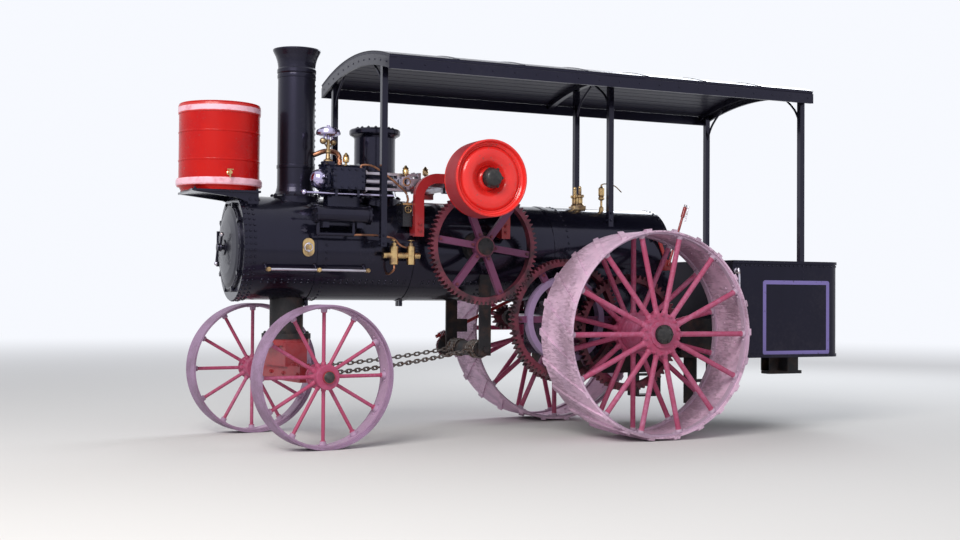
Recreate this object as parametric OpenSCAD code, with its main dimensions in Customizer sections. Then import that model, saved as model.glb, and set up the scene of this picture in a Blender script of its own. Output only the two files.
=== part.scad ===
// Steam traction engine, facing +X, standing on the ground at Z = 0.
// Inside the modules X is counted from the rear axle, and placed() centres the whole machine.

/* [Boiler] */
// Diameter of the boiler barrel and smokebox
boiler_d = 800; // [700:10:900]
// Height of the boiler's centre line
boiler_z = 1490; // [1440:10:1600]
// Length of the smokebox
smokebox_len = 620; // [500:10:760]
// Where the smokebox ends at the front, from the rear axle
smokebox_front = 3170; // [3100:10:3300]
// Width of the rolled bands round the boiler
band_w = 45; // [25:5:70]
// How far a band stands out of the boiler
band_t = 6; // [3:1:10]

/* [Firebox] */
// Front face of the firebox, from the rear axle
firebox_front = 470; // [420:5:490]
// Length of the firebox
firebox_len = 1020; // [900:10:1100]
// Width of the firebox
firebox_w = 760; // [680:10:800]
// Underside of the firebox, above the ground
firebox_z = 640; // [600:10:700]
// Depth of the ash pan below the firebox
ash_pan_h = 150; // [100:10:200]
// Width of the firebox door
fire_door_w = 330; // [260:10:400]
// Thickness of the firebox door
fire_door_t = 14; // [8:1:24]

/* [Chimney and dome] */
// How far the chimney stands behind the smokebox's front
chimney_back = 505; // [480:5:530]
// Diameter of the chimney pipe
chimney_d = 290; // [240:10:330]
// Top of the chimney, above the ground
chimney_top = 3050; // [3000:10:3200]
// Diameter of the flared chimney cap
chimney_cap_d = 372; // [350:2:400]
// Height of the flared chimney cap
chimney_cap_h = 130; // [100:5:160]
// Where the steam dome stands, from the rear axle
dome_x = 2010; // [1970:10:2040]
// Diameter of the steam dome
dome_d = 330; // [280:10:360]
// Top of the steam dome, above the ground
dome_top = 2480; // [2400:10:2560]
// Diameter of the dome's flat cap
dome_cap_d = 410; // [380:5:430]

/* [Engine] */
// Where the crankshaft lies, from the rear axle
crank_x = 1440; // [1430:5:1450]
// Height of the crankshaft
crank_z = 2020; // [2010:5:2030]
// Half of the piston's stroke
crank_throw = 125; // [110:5:130]
// Diameter of the crankshaft
crankshaft_d = 76; // [64:2:84]
// Length of the connecting rod between its pins
rod_len = 570; // [565:5:575]
// Sideways place of the connecting rod
rod_y = 372; // [370:1:374]
// Sideways place of the cylinder and the crosshead
cylinder_y = 292; // [290:1:294]
// Length of the cylinder
cylinder_len = 315; // [310:1:320]
// Diameter of the cylinder's lagging
cylinder_d = 240; // [220:2:250]
// Half the width of the arched pedestals
pedestal_half = 410; // [400:5:420]
// Diameter of the belt pulley
pulley_d = 586; // [540:2:620]
// Width of the belt pulley's face
pulley_w = 230; // [200:5:250]
// Outer face of the belt pulley, from the middle of the machine
pulley_y = 1022; // [1010:2:1060]

/* [Fittings] */
// Where the feed heater starts at the rear, from the rear axle
heater_x = 2230; // [2220:5:2240]
// Length of the feed heater
heater_len = 420; // [400:10:440]
// Height of the feed heater's centre line
heater_z = 1740; // [1730:5:1750]
// Radius of the feed heater
heater_r = 62; // [56:1:66]
// Height of the handrails along the boiler
rail_z = 1320; // [1280:10:1340]
// Width of the footplate
footplate_w = 1120; // [1000:20:1120]
// Depth of the boards round the canopy's edge
board_h = 84; // [50:2:110]
// Width of the oval covers on the smokebox
cover_w = 90; // [70:2:110]
// Where the lubricator's box starts, from the rear axle
lubricator_x = 1854; // [1850:2:1870]
// Height of the governor's column
governor_h = 190; // [160:5:200]
// Height of the drawbar's underside
drawbar_z = 430; // [400:5:480]
// Depth of the coal bunker, from the tender's top down to its floor
bunker_h = 270; // [200:10:330]

/* [Gearing] */
// Tooth module of the crank, intermediate and differential gears
fast_module = 12; // [11.8:0.1:12]
// Teeth on the crank pinion
crank_teeth = 12; // [12:1:12]
// Teeth on the intermediate gear
idler_teeth = 75; // [74:1:76]
// Teeth on the differential gear
diff_teeth = 80; // [79:1:80]
// Radius of the spring ring inside the differential gear
diff_ring_r = 350; // [330:5:360]
// Width of the fast gears' teeth
gear_w = 70; // [60:2:70]
// Inner face of the fast gears, from the middle of the machine
gear_y = 500; // [500:1:502]
// Tooth module of the final pinions and the bull gears
slow_module = 14; // [13.9:0.1:14]
// Teeth on a final pinion
pinion_teeth = 14; // [14:1:14]
// Teeth on a bull gear
bull_teeth = 67; // [66:1:67]
// Width of the bull gears' teeth
bull_w = 55; // [45:1:56]
// Slope of the line from the rear axle to the countershaft
counter_angle = 11; // [10:1:12]
// Diameter of the countershaft
counter_d = 70; // [60:2:76]

/* [Rear wheels] */
// Diameter of a rear wheel over its cleats
rear_d = 1676; // [1640:4:1680]
// Width of a rear wheel
rear_w = 508; // [460:4:520]
// Inner edge of a rear wheel, from the middle of the machine
rear_y = 642; // [642:1:660]
// How far a cleat stands out of the tread
cleat_h = 16; // [8:1:24]
// Width of a cleat
cleat_w = 44; // [30:2:60]
// Number of cleats round a rear wheel
cleats = 22; // [16:1:26]
// Number of spokes in one row of a rear wheel
rear_spokes = 14; // [10:1:16]
// Diameter of the stub axles
axle_d = 104; // [90:2:110]

/* [Front wheels] */
// Where the front axle turns, from the rear axle
front_x = 2730; // [2700:5:2780]
// Diameter of a front wheel
front_d = 1060; // [1000:4:1060]
// Width of a front wheel
front_w = 196; // [150:2:210]
// Outer edge of a front wheel, from the middle of the machine
front_y = 800; // [780:2:860]
// Turn of the front axle to the left, as it stands
steer_turn = 7; // [0:1:10]
// Number of spokes in a front wheel
front_spokes = 12; // [10:1:14]
// Diameter of the front axle's ends
front_axle_d = 64; // [50:2:76]

/* [Canopy] */
// Front edge of the canopy, from the rear axle
canopy_front = 2200; // [2150:10:2300]
// Length of the canopy
canopy_len = 3920; // [3800:20:4000]
// Width of the canopy
canopy_w = 1660; // [1500:20:1700]
// Underside of the canopy's eaves, above the ground
canopy_z = 2930; // [2850:10:2960]
// How far the middle of the roof stands above the eaves
canopy_rise = 120; // [60:10:160]
// Thickness of the canopy's roof
roof_t = 26; // [16:2:36]
// Thickness of a canopy post
post_t = 46; // [30:2:60]

/* [Tender] */
// Front of the tender, behind the rear axle
tender_front = 940; // [930:5:980]
// Length of the tender
tender_len = 1160; // [1000:10:1200]
// Width of the tender
tender_w = 1500; // [1300:20:1540]
// Underside of the tender
tender_z = 620; // [560:10:680]
// Height of the tender's sides
tender_h = 830; // [700:10:900]
// Thickness of the tender's plates
plate_t = 8; // [5:1:12]
// Radius of the drawbar's pin hole
hitch_r = 22; // [16:1:28]

/* [Water barrel] */
// Diameter of the water barrel
barrel_d = 610; // [560:10:640]
// Height of the water barrel
barrel_h = 656; // [600:4:720]
// How far the barrel's middle stands ahead of the smokebox's front
barrel_ahead = 100; // [80:5:120]
// How far the lower hoop stands out of the barrel
hoop_t = 20; // [10:1:28]

/* [Hidden] */
$fn = 96;
// Gap between seated pieces, and the radial play of a shaft in its bore
seat = 0.3;
play = 0.05;
boiler_r = boiler_d / 2;
boiler_top = boiler_z + boiler_r;
smokebox_rear = smokebox_front - smokebox_len;
ring_t = 8;
ring_len = 60;
firebox_rear = firebox_front - firebox_len;
axle_z = rear_d / 2;
front_z = front_d / 2;
crankshaft_r = crankshaft_d / 2;
counter_r = counter_d / 2;
axle_r = axle_d / 2;

// Pitch radii, and the places of the gears' centres as [X, Z]
crank_pr = fast_module * crank_teeth / 2;
idler_pr = fast_module * idler_teeth / 2;
diff_pr = fast_module * diff_teeth / 2;
pinion_pr = slow_module * pinion_teeth / 2;
bull_pr = slow_module * bull_teeth / 2;
function polar(r, a) = [r * cos(a), r * sin(a)];
function heading(a, b) = atan2(b[1] - a[1], b[0] - a[0]);
axle_c = [0, axle_z];
counter_c = axle_c + polar(pinion_pr + bull_pr, counter_angle);
crank_c = [crank_x, crank_z];
// Point at distance ra from a and rb from b, on the right-hand side of the way from a to b
function meet(a, ra, b, rb) =
    let (d = norm(b - a), u = (b - a) / d, t = (ra * ra - rb * rb + d * d) / (2 * d))
    a + u * t + [u[1], -u[0]] * sqrt(ra * ra - t * t);
idler_c = meet(counter_c, diff_pr + idler_pr, crank_c, crank_pr + idler_pr);

// Turn of gear b that lets it mesh with gear a, whose own turn is turn_a
function mesh_turn(turn_a, teeth_a, teeth_b, way) =
    way + 180 - ((turn_a - way) * teeth_a / 360 + 0.5) * 360 / teeth_b;
bull_turn = 0;
pinion_turn = mesh_turn(bull_turn, bull_teeth, pinion_teeth, heading(axle_c, counter_c));
diff_turn = 0;
idler_turn = mesh_turn(diff_turn, diff_teeth, idler_teeth, heading(counter_c, idler_c));
crank_turn = mesh_turn(idler_turn, idler_teeth, crank_teeth, heading(idler_c, crank_c));

// The barrel's lower hoop is the foremost thing, and the drawbar the rearmost
chimney_x = smokebox_front - chimney_back;
barrel_x = smokebox_front + barrel_ahead;
hitch_len = 110;
front_end = barrel_x + barrel_d / 2 + hoop_t;
rear_end = -tender_front - tender_len - hitch_len;
middle_x = (front_end + rear_end) / 2;

module placed() {
    translate([-middle_x, 0, 0]) children();
}

// Side view outline, drawn as [X, Z], made solid between two sideways places
module slab(y0, y1) {
    translate([0, y1, 0]) rotate([90, 0, 0]) linear_extrude(y1 - y0) children();
}

// Round bar along Y
module bar_y(c, r, y0, y1) {
    translate([c[0], y1, c[1]]) rotate([90, 0, 0]) cylinder(h = y1 - y0, r = r);
}

// Round bar along X
module bar_x(x0, x1, y, z, r) {
    translate([x0, y, z]) rotate([0, 90, 0]) cylinder(h = x1 - x0, r = r);
}

// Round bar between two points
module strut(a, b, r) {
    d = b - a;
    translate(a)
        rotate([0, acos(d[2] / norm(d)), atan2(d[1], d[0])])
            cylinder(h = norm(d), r = r, $fn = 32);
}

module mirror_left_right(side) {
    if (side > 0) children();
    else mirror([0, 1, 0]) children();
}

band_places = [firebox_front + 60, crank_x + 330, smokebox_rear + 10];

module boiler_bands(extra = 0) {
    for (x = band_places)
        bar_x(x - extra, x + band_w + extra, 0, boiler_z, boiler_r + band_t + extra);
    bar_x(smokebox_front - ring_len - extra, smokebox_front + extra, 0, boiler_z,
        boiler_r + ring_t + extra);
}

// Space that the boiler takes, with a seat round it
module boiler_space() {
    bar_x(firebox_rear - 50, smokebox_front + seat, 0, boiler_z, boiler_r + seat);
    boiler_bands(seat);
}

// Gear outline with straight-sided teeth, the first tooth pointing along the turn
module gear_outline(teeth, m, turn) {
    pitch = 360 / teeth;
    pr = m * teeth / 2;
    root = pr - 1.2 * m;
    tip = pr + 0.9 * m;
    polygon([
        for (i = [0 : teeth - 1], c = [[root, -0.34], [tip, -0.12], [tip, 0.12], [root, 0.34]])
            polar(c[0], turn + (i + c[1]) * pitch)
    ]);
}

module toothed_rim(teeth, m, turn, rim_t) {
    difference() {
        gear_outline(teeth, m, turn);
        polygon([for (i = [0 : 71]) polar(m * teeth / 2 - 1.2 * m - rim_t, i * 5)]);
    }
}

module boiler() {
    color("#15151b") {
        bar_x(firebox_front + seat, smokebox_front, 0, boiler_z, boiler_r);
        boiler_bands();
    }
}

module firebox_outline() {
    circle(r = boiler_r);
    translate([-firebox_w / 2, firebox_z - boiler_z])
        square([firebox_w, boiler_z - firebox_z]);
}

module firebox() {
    color("#17171d")
        difference() {
            translate([firebox_rear, 0, boiler_z])
                rotate([90, 0, 90]) linear_extrude(firebox_len) firebox_outline();
            translate([firebox_rear - 1, -fire_door_w / 2 + 40, 1180])
                cube([120, fire_door_w - 80, 200]);
        }
}

module ash_pan() {
    color("#1b1a1c")
        translate([firebox_rear + 60, -firebox_w / 2 + 40, firebox_z - ash_pan_h])
            cube([firebox_len - 120, firebox_w - 80, ash_pan_h]);
}

door_pin_r = 13;
door_pin_y = -boiler_r + 20;

smokebox_door_r = boiler_r - 60;

module smokebox_door() {
    x0 = smokebox_front + 0.5;
    r = smokebox_door_r;
    color("#1a1a20") {
        translate([x0, 0, boiler_z]) rotate([0, 90, 0]) rotate_extrude()
            polygon([
                [0, 0], [r, 0], [r, 12], [r - 18, 18], [r - 60, 32], [r * 0.6, 46], [r * 0.3, 54],
                [60, 56], [60, 64], [0, 64]
            ]);
        // Screw of the door with its two handles
        bar_x(x0 + 60, x0 + 112, 0, boiler_z, 20);
        strut([x0 + 86, 0, boiler_z], [x0 + 92, 80, boiler_z + 96], 9);
        strut([x0 + 104, 0, boiler_z], [x0 + 110, -20, boiler_z - 124], 9);
        // Clamps round the edge
        for (i = [0 : 9])
            translate([x0, 0, boiler_z]) rotate([i * 36 + 18, 0, 0])
                translate([0, -14, r - 26]) cube([26, 28, 40]);
        // Hinge on the right-hand edge
        translate([x0 + door_pin_r, door_pin_y, boiler_z - 140])
            cylinder(h = 280, r = door_pin_r);
        for (z = [-100, 60])
            translate([x0 + 6, door_pin_y, boiler_z + z]) cube([12, 160, 40]);
    }
}

fire_pin_r = 10;
fire_door_z = 1150;

module fire_door() {
    x0 = firebox_rear - 0.5;
    color("#20201f") {
        translate([x0 - fire_door_t, -fire_door_w / 2, fire_door_z])
            cube([fire_door_t, fire_door_w, 260]);
        translate([x0 - fire_pin_r, -fire_door_w / 2 - 6, fire_door_z])
            cylinder(h = 260, r = fire_pin_r);
        for (z = [40, 190])
            translate([x0 - fire_door_t - 8, -fire_door_w / 2 - 4, fire_door_z + z])
                cube([12, fire_door_w - 40, 30]);
        strut([x0 - fire_door_t - 46, fire_door_w / 2 - 30, fire_door_z + 90],
            [x0 - fire_door_t - 46, fire_door_w / 2 - 30, fire_door_z + 190], 9);
        for (z = [100, 180])
            bar_x(x0 - fire_door_t - 46, x0 - fire_door_t + 2, fire_door_w / 2 - 30,
                fire_door_z + z, 7);
    }
}

module chimney() {
    r = chimney_d / 2;
    rc = chimney_cap_d / 2;
    zc = chimney_top - chimney_cap_h;
    color("#141419")
        difference() {
            translate([chimney_x, 0, 0]) rotate_extrude()
                polygon([
                    [r - 8, boiler_z], [r + 44, boiler_z], [r + 44, boiler_top + 4],
                    [r + 30, boiler_top + 14], [r + 12, boiler_top + 40], [r + 3, boiler_top + 74],
                    [r, boiler_top + 100], [r, zc - 62], [r + 7, zc - 52], [r + 7, zc - 28],
                    [r, zc - 16], [r + 1, zc], [r + 4, zc + 24], [r + 10, zc + 50],
                    [r + 20, zc + 78], [r + 32, zc + 102], [rc - 2, chimney_top - 14],
                    [rc, chimney_top - 8], [rc, chimney_top], [rc - 12, chimney_top],
                    [r + 22, zc + 96], [r - 2, zc + 50], [r - 8, zc]
                ]);
            boiler_space();
        }
}

module dome() {
    r = dome_d / 2;
    rc = dome_cap_d / 2;
    color("#141419")
        difference() {
            translate([dome_x, 0, 0]) rotate_extrude()
                polygon([
                    [0, boiler_z], [r + 44, boiler_z], [r + 44, boiler_top + 6],
                    [r + 28, boiler_top + 18], [r + 10, boiler_top + 42], [r, boiler_top + 76],
                    [r, dome_top - 92], [r + 8, dome_top - 80], [rc - 6, dome_top - 66],
                    [rc, dome_top - 56], [rc, dome_top - 30], [rc - 8, dome_top - 20],
                    [rc * 0.6, dome_top - 6], [0, dome_top]
                ]);
            boiler_space();
        }
}

// Two spring valves and a whistle over the firebox, cut to the boiler's top
module safety_valve() {
    r = boiler_r;
    color("#b08d45")
        difference() {
            union() {
                for (y = [-46, 46])
                    translate([150, y, boiler_z]) rotate_extrude()
                        polygon([
                            [0, 0], [34, 0], [34, r + 30], [24, r + 44], [24, r + 92], [36, r + 98],
                            [36, r + 116], [14, r + 124], [14, r + 170], [0, r + 170]
                        ]);
                translate([150 - 38, -84, boiler_z + r - 30]) cube([76, 168, 52]);
                translate([-20, 120, boiler_z]) rotate_extrude()
                    polygon([
                        [0, 0], [20, 0], [20, r + 10], [10, r + 20], [10, r + 70], [26, r + 80],
                        [26, r + 96], [20, r + 104], [26, r + 112], [26, r + 176], [8, r + 192],
                        [8, r + 206], [0, r + 206]
                    ]);
            }
            boiler_space();
        }
}

cylinder_front = crank_x - crank_throw + rod_len + 2 * crank_throw + 90 + cylinder_len;

governor_x = cylinder_front - 45;
governor_pad_z = crank_z + cylinder_d / 2 + 18;
drain_rod = [2000, 414, 1905];
drain_rod_len = 720;

module cylinder_block() {
    x0 = cylinder_front - cylinder_len;
    r = cylinder_d / 2;
    color("#17171c")
        difference() {
            union() {
                bar_x(x0, cylinder_front, cylinder_y, crank_z, r);
                for (x = [x0 + 4, cylinder_front - 30])
                    bar_x(x, x + 26, cylinder_y, crank_z, r + 14);
                bar_x(cylinder_front - 1, cylinder_front + 14, cylinder_y, crank_z, r - 22);
                // Saddle down to the boiler's shoulder
                translate([x0 + 30, cylinder_y - 66, boiler_z])
                    cube([cylinder_len - 60, 114, crank_z - boiler_z]);
                // Steam chest on the outer side with its cover
                translate([x0 + 40, cylinder_y, crank_z - 75])
                    cube([cylinder_len - 80, r + 50, 150]);
                translate([x0 + 32, cylinder_y + r + 50, crank_z - 83])
                    cube([cylinder_len - 64, 14, 166]);
                // Pad of the governor
                translate([governor_x - 42, cylinder_y - 42, crank_z])
                    cube([84, 84, governor_pad_z - crank_z]);
                // Steam pipe from the dome's side
                translate([x0 + 80, 60, crank_z + 90]) rotate([-90, 0, 0])
                    cylinder(h = cylinder_y - 60, r = 32);
                bar_x(dome_x + 90, x0 + 80, 60, crank_z + 90, 32);
                translate([x0 + 80, 60, crank_z + 90]) sphere(r = 32);
                // Lugs that carry the drain rod
                for (x = [x0 + 60, cylinder_front - 80])
                    translate([x, drain_rod[1] - 20, drain_rod[2] - 20])
                        cube([20, 40, crank_z - drain_rod[2] - 40]);
            }
            boiler_space();
            translate([dome_x, 0, boiler_z]) cylinder(h = 1000, r = dome_d / 2 + seat);
            translate([x0 - 1, cylinder_y, crank_z]) rotate([0, 90, 0])
                cylinder(h = cylinder_len - 40, r = 24);
            bar_x(drain_rod[0], drain_rod[0] + drain_rod_len, drain_rod[1], drain_rod[2], 9 + seat);
        }
}

// Governor on the cylinder: a column, two arms with balls and a cap
module governor() {
    z0 = governor_pad_z + seat;
    h = governor_h;
    ball = [58, 0, h - 36];
    color("#9c8350")
        translate([governor_x, cylinder_y, z0]) {
            rotate_extrude()
                polygon([
                    [0, 0], [36, 0], [36, 10], [20, 22], [16, 60], [22, 70], [22, 84], [14, 90],
                    [14, h], [60, h + 6], [92, h + 16], [95, h + 30], [88, h + 52],
                    [54, h + 72], [12, h + 80], [12, h + 90], [0, h + 90]
                ]);
            for (a = [30, 210])
                rotate(a) {
                    translate(ball) sphere(r = 26, $fn = 48);
                    strut([10, 0, h - 84], ball, 6);
                    strut(ball, [40, 0, h + 8], 6);
                }
        }
}

module guide_bars() {
    x0 = crank_x - crank_throw + rod_len - 120;
    x1 = cylinder_front - cylinder_len - seat;
    color("#8c8c93")
        difference() {
            union() {
                for (s = [-1, 1])
                    translate([x0, cylinder_y - 36, crank_z + s * 60 - 10])
                        cube([x1 - x0, 72, 20]);
                translate([x0 - 24, cylinder_y - 42, boiler_z])
                    cube([24, 84, crank_z - boiler_z + 80]);
                // Foot that steadies the bracket
                slab(cylinder_y - 10, cylinder_y + 10)
                    polygon([
                        [x0 - 20, boiler_z + 200], [x0 + 120, boiler_z + 200],
                        [x0 + 120, boiler_z + 300], [x0 - 20, crank_z - 90]
                    ]);
            }
            boiler_space();
        }
}

module crosshead() {
    x0 = crank_x - crank_throw + rod_len;
    color("#a5a5ab") {
        translate([x0 - 55, cylinder_y - 34, crank_z - 49.6]) cube([110, 68, 99.2]);
        bar_y([x0, crank_z], 22, cylinder_y, rod_y - 32);
        bar_x(x0 + 50, cylinder_front - 46 - 2 * crank_throw, cylinder_y, crank_z, 20);
    }
}

module connecting_rod() {
    x0 = crank_x - crank_throw;
    color("#a9a9b0")
        difference() {
            union() {
                bar_y([x0, crank_z], 60, rod_y - 26, rod_y + 26);
                translate([x0 - 58, rod_y - 24, crank_z - 54]) cube([126, 48, 108]);
                bar_y([x0 + rod_len, crank_z], 44, rod_y - 26, rod_y + 26);
                translate([x0 + rod_len - 50, rod_y - 24, crank_z - 38]) cube([94, 48, 76]);
                slab(rod_y - 13, rod_y + 13)
                    polygon([
                        [x0, crank_z - 40], [x0 + rod_len, crank_z - 26],
                        [x0 + rod_len, crank_z + 26], [x0, crank_z + 40]
                    ]);
            }
            bar_y([x0, crank_z], 34 + play, rod_y - 40, rod_y + 40);
            bar_y([x0 + rod_len, crank_z], 24, rod_y - 40, rod_y + 40);
        }
}

web_in = rod_y - 28;
web_out = rod_y + 28;
web_t = 36;

module crankshaft() {
    color("#9a9aa2") {
        bar_y(crank_c, crankshaft_r, -380, web_in - web_t);
        bar_y(crank_c, crankshaft_r, web_out + web_t, pulley_y + 12);
        bar_y([crank_x - crank_throw, crank_z], 34, web_in, web_out);
    }
}

module crank_webs() {
    color("#8d8d94")
        for (y = [web_in - web_t, web_out])
            crank_web(y, web_t);
}

// Crank web with a rounded end round the pin and a balance weight behind the shaft
module crank_web(y, t) {
    slab(y, y + t) {
        translate(crank_c) circle(r = 76);
        translate([crank_x - crank_throw, crank_z]) circle(r = 56);
        translate([crank_x - crank_throw, crank_z - 56]) square([crank_throw, 112]);
        translate([crank_x, crank_z - 76]) square([118, 152]);
    }
}

module belt_pulley() {
    r = pulley_d / 2;
    y0 = pulley_y - pulley_w;
    color("#c4331f")
        difference() {
            translate([crank_x, 0, crank_z]) rotate([-90, 0, 0]) rotate_extrude()
                polygon([
                    [crankshaft_r + play, y0 + 90], [70, y0 + 90], [74, y0 + 118],
                    [r - 40, y0 + 150], [r - 14, y0 + 140], [r - 14, y0], [r, y0],
                    [r, pulley_y], [r - 16, pulley_y], [r - 24, pulley_y - 26],
                    [r - 60, y0 + 178], [96, y0 + 146], [66, y0 + 170], [60, pulley_y - 10],
                    [crankshaft_r + play, pulley_y - 10]
                ]);
        }
}

module crank_pinion() {
    color("#7c3a36")
        difference() {
            union() {
                slab(gear_y, gear_y + gear_w) translate(crank_c) rotate(0)
                    gear_outline(crank_teeth, fast_module, crank_turn);
                bar_y(crank_c, 56, gear_y + gear_w, pulley_y - pulley_w + 60);
            }
            bar_y(crank_c, crankshaft_r + play, gear_y - 1, pulley_y);
        }
}

// Arched pedestal for a main bearing, its feet shaped to the boiler
// Flat-topped arch over the crankshaft's line, from half its width, its top and its corners' radius
module arch(half, top, corner) {
    for (s = [-1, 1])
        translate([crank_x + s * (half - corner), top - corner]) circle(r = corner);
    translate([crank_x - half, boiler_z]) square([2 * half, top - corner - boiler_z]);
    translate([crank_x - half + corner, boiler_z]) square([2 * (half - corner), top - boiler_z]);
}

module pedestal(y0, y1) {
    difference() {
        union() {
            slab(y0, y1) {
                difference() {
                    arch(pedestal_half, crank_z + 66, 190);
                    arch(pedestal_half - 75, crank_z - 10, 115);
                    translate([crank_x - 500, 0]) square([1000, boiler_z + 100]);
                }
                translate([crank_x - 60, crank_z - 80]) square([120, 80]);
                translate(crank_c) circle(r = 74);
            }
            // Cap of the bearing and its oil cup
            translate([crank_x - 84, y0 + 4, crank_z - 14]) cube([168, y1 - y0 - 8, 28]);
            translate([crank_x, (y0 + y1) / 2, crank_z]) cylinder(h = 108, r = 14);
        }
        boiler_space();
        bar_y(crank_c, crankshaft_r + play, y0 - 1, y1 + 1);
    }
}

module pedestal_left() {
    y0 = web_out + web_t + 6;
    color("#b23a2c") {
        pedestal(y0, gear_y - 8);
        difference() {
            for (s = [-1, 1])
                translate([crank_x + s * (pedestal_half - 38) - 38, boiler_r - 70, boiler_z + 110])
                    cube([76, y0 - boiler_r + 70, 90]);
            boiler_space();
        }
    }
}

module pedestal_right() {
    color("#b23a2c") pedestal(-350, -280);
}

module feed_heater() {
    y = boiler_r + 88;
    x1 = heater_x + heater_len;
    color("#1c1c22") {
        bar_x(heater_x, x1, y, heater_z, heater_r);
        for (x = [heater_x - 6, x1 - 12])
            bar_x(x, x + 18, y, heater_z, heater_r + 10);
        difference() {
            for (x = [heater_x + 50, x1 - 100])
                translate([x, boiler_r - 55, heater_z - 100]) cube([50, y - boiler_r + 75, 46]);
            boiler_space();
        }
        // Feed pipes below
        for (x = [heater_x + 120, x1 - 20])
            translate([x, y, heater_z - 150]) cylinder(h = 120, r = 14);
        bar_x(heater_x + 120, x1 - 20, y, heater_z - 150, 14);
    }
}

module idler_bracket() {
    color("#24201f")
        difference() {
            union() {
                bar_y(idler_c, 120, boiler_r - 200, gear_y - 14);
                bar_y(idler_c, 44, boiler_r, gear_y + gear_w + 24);
                bar_y(idler_c, 66, gear_y + gear_w + 4, gear_y + gear_w + 24);
            }
            boiler_space();
        }
}

// Six-armed gear centre round its own bore
module gear_centre(c, pr, m, bore_r, hub_r, arms, turn) {
    inner = pr - 1.2 * m - 34 - seat;
    difference() {
        union() {
            bar_y(c, hub_r, gear_y - 8, gear_y + gear_w + 2);
            intersection() {
                for (i = [0 : arms - 1])
                    translate([c[0], 0, c[1]]) rotate([0, -turn - i * 360 / arms, 0])
                        translate([hub_r - 10, gear_y + 14, -26])
                            cube([inner - hub_r + 20, gear_w - 28, 52]);
                slab(gear_y, gear_y + gear_w)
                    translate(c) polygon([for (i = [0 : 71]) polar(inner, i * 5)]);
            }
        }
        bar_y(c, bore_r, gear_y - 20, gear_y + gear_w + 20);
    }
}

module idler_rim() {
    color("#7a2f35")
        slab(gear_y, gear_y + gear_w) translate(idler_c)
            toothed_rim(idler_teeth, fast_module, idler_turn, 34);
}

module idler_wheel() {
    color("#a06a78") gear_centre(idler_c, idler_pr, fast_module, 44 + play, 84, 6, 8);
}

module diff_rim() {
    color("#8a5560")
        slab(gear_y, gear_y + gear_w) translate(counter_c)
            toothed_rim(diff_teeth, fast_module, diff_turn, 34);
}

module diff_wheel() {
    color("#8a5560") {
        gear_centre(counter_c, diff_pr, fast_module, counter_r + play, 120, 6, 0);
        // Ring that holds the differential's springs
        difference() {
            bar_y(counter_c, diff_ring_r, gear_y + 2, gear_y + gear_w + 3);
            bar_y(counter_c, diff_ring_r - 48, gear_y, gear_y + gear_w + 4);
        }
    }
}

module axle_bracket() {
    hub_end = rear_y + rear_w - 6;
    bar_y(axle_c, 150, firebox_w / 2 + seat, gear_y - 20);
    bar_y(axle_c, axle_r, firebox_w / 2 + seat, hub_end + 26);
    bar_y(axle_c, axle_r + 24, hub_end + 2, hub_end + 26);
}

module axle_brackets() {
    color("#2a2524")
        for (s = [-1, 1])
            mirror_left_right(s) axle_bracket();
}

module shaft_bearings() {
    color("#2a2524")
        for (s = [-1, 1]) mirror_left_right(s)
            difference() {
                union() {
                    bar_y(counter_c, 70, gear_y - 75, gear_y - 15);
                    translate([firebox_front - 160, firebox_w / 2 + seat, counter_c[1] - 60])
                        cube([counter_c[0] - firebox_front + 160, 30, 120]);
                    translate([counter_c[0] - 60, firebox_w / 2 + seat, counter_c[1] - 60])
                        cube([60, gear_y - 20 - firebox_w / 2, 120]);
                }
                bar_y(counter_c, counter_r + play, 0, gear_y);
            }
}

module countershaft() {
    color("#8f8f96") bar_y(counter_c, counter_r, -rear_y + 6, rear_y - 6);
}

module final_pinion() {
    y0 = rear_y - 6 - bull_w;
    difference() {
        slab(y0, y0 + bull_w) translate(counter_c)
            gear_outline(pinion_teeth, slow_module, pinion_turn);
        bar_y(counter_c, counter_r + play, 0, rear_y);
    }
}

module pinion_left() {
    color("#6f5a58") final_pinion();
}

module pinion_right() {
    color("#6f5a58") mirror([0, 1, 0]) final_pinion();
}

module bull_gear() {
    y0 = rear_y - 6 - bull_w;
    slab(y0, y0 + bull_w) translate(axle_c)
        toothed_rim(bull_teeth, slow_module, bull_turn, 34);
    // Bosses that carry the gear on every other spoke
    for (i = [0 : 2 : rear_spokes - 1])
        translate([0, y0 + bull_w, axle_z]) rotate([0, i * 360 / rear_spokes, 0])
            translate([-14, 0, bull_pr - 1.2 * slow_module - 31])
                cube([28, rear_y + 27 - seat - y0 - bull_w, 28]);
}

module bull_gear_left() {
    color("#6f5a58") bull_gear();
}

module bull_gear_right() {
    color("#6f5a58") mirror([0, 1, 0]) bull_gear();
}

rim_t = 14;
rim_r = rear_d / 2 - cleat_h;

module rear_rim() {
    difference() {
        union() {
            bar_y(axle_c, rim_r, rear_y, rear_y + rear_w);
            intersection() {
                bar_y(axle_c, rear_d / 2, rear_y, rear_y + rear_w);
                for (i = [0 : cleats - 1])
                    translate([0, rear_y + rear_w / 2, axle_z]) rotate([0, i * 360 / cleats, 0])
                        translate([0, 0, rim_r - 60]) rotate([0, 0, 62])
                            translate([-rear_w, -cleat_w / 2, 0]) cube([2 * rear_w, cleat_w, 100]);
            }
        }
        bar_y(axle_c, rim_r - rim_t, rear_y - 1, rear_y + rear_w + 1);
    }
}

module rear_rim_left() {
    color("#9d98a8") rear_rim();
}

module rear_rim_right() {
    color("#9d98a8") mirror([0, 1, 0]) rear_rim();
}

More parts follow.
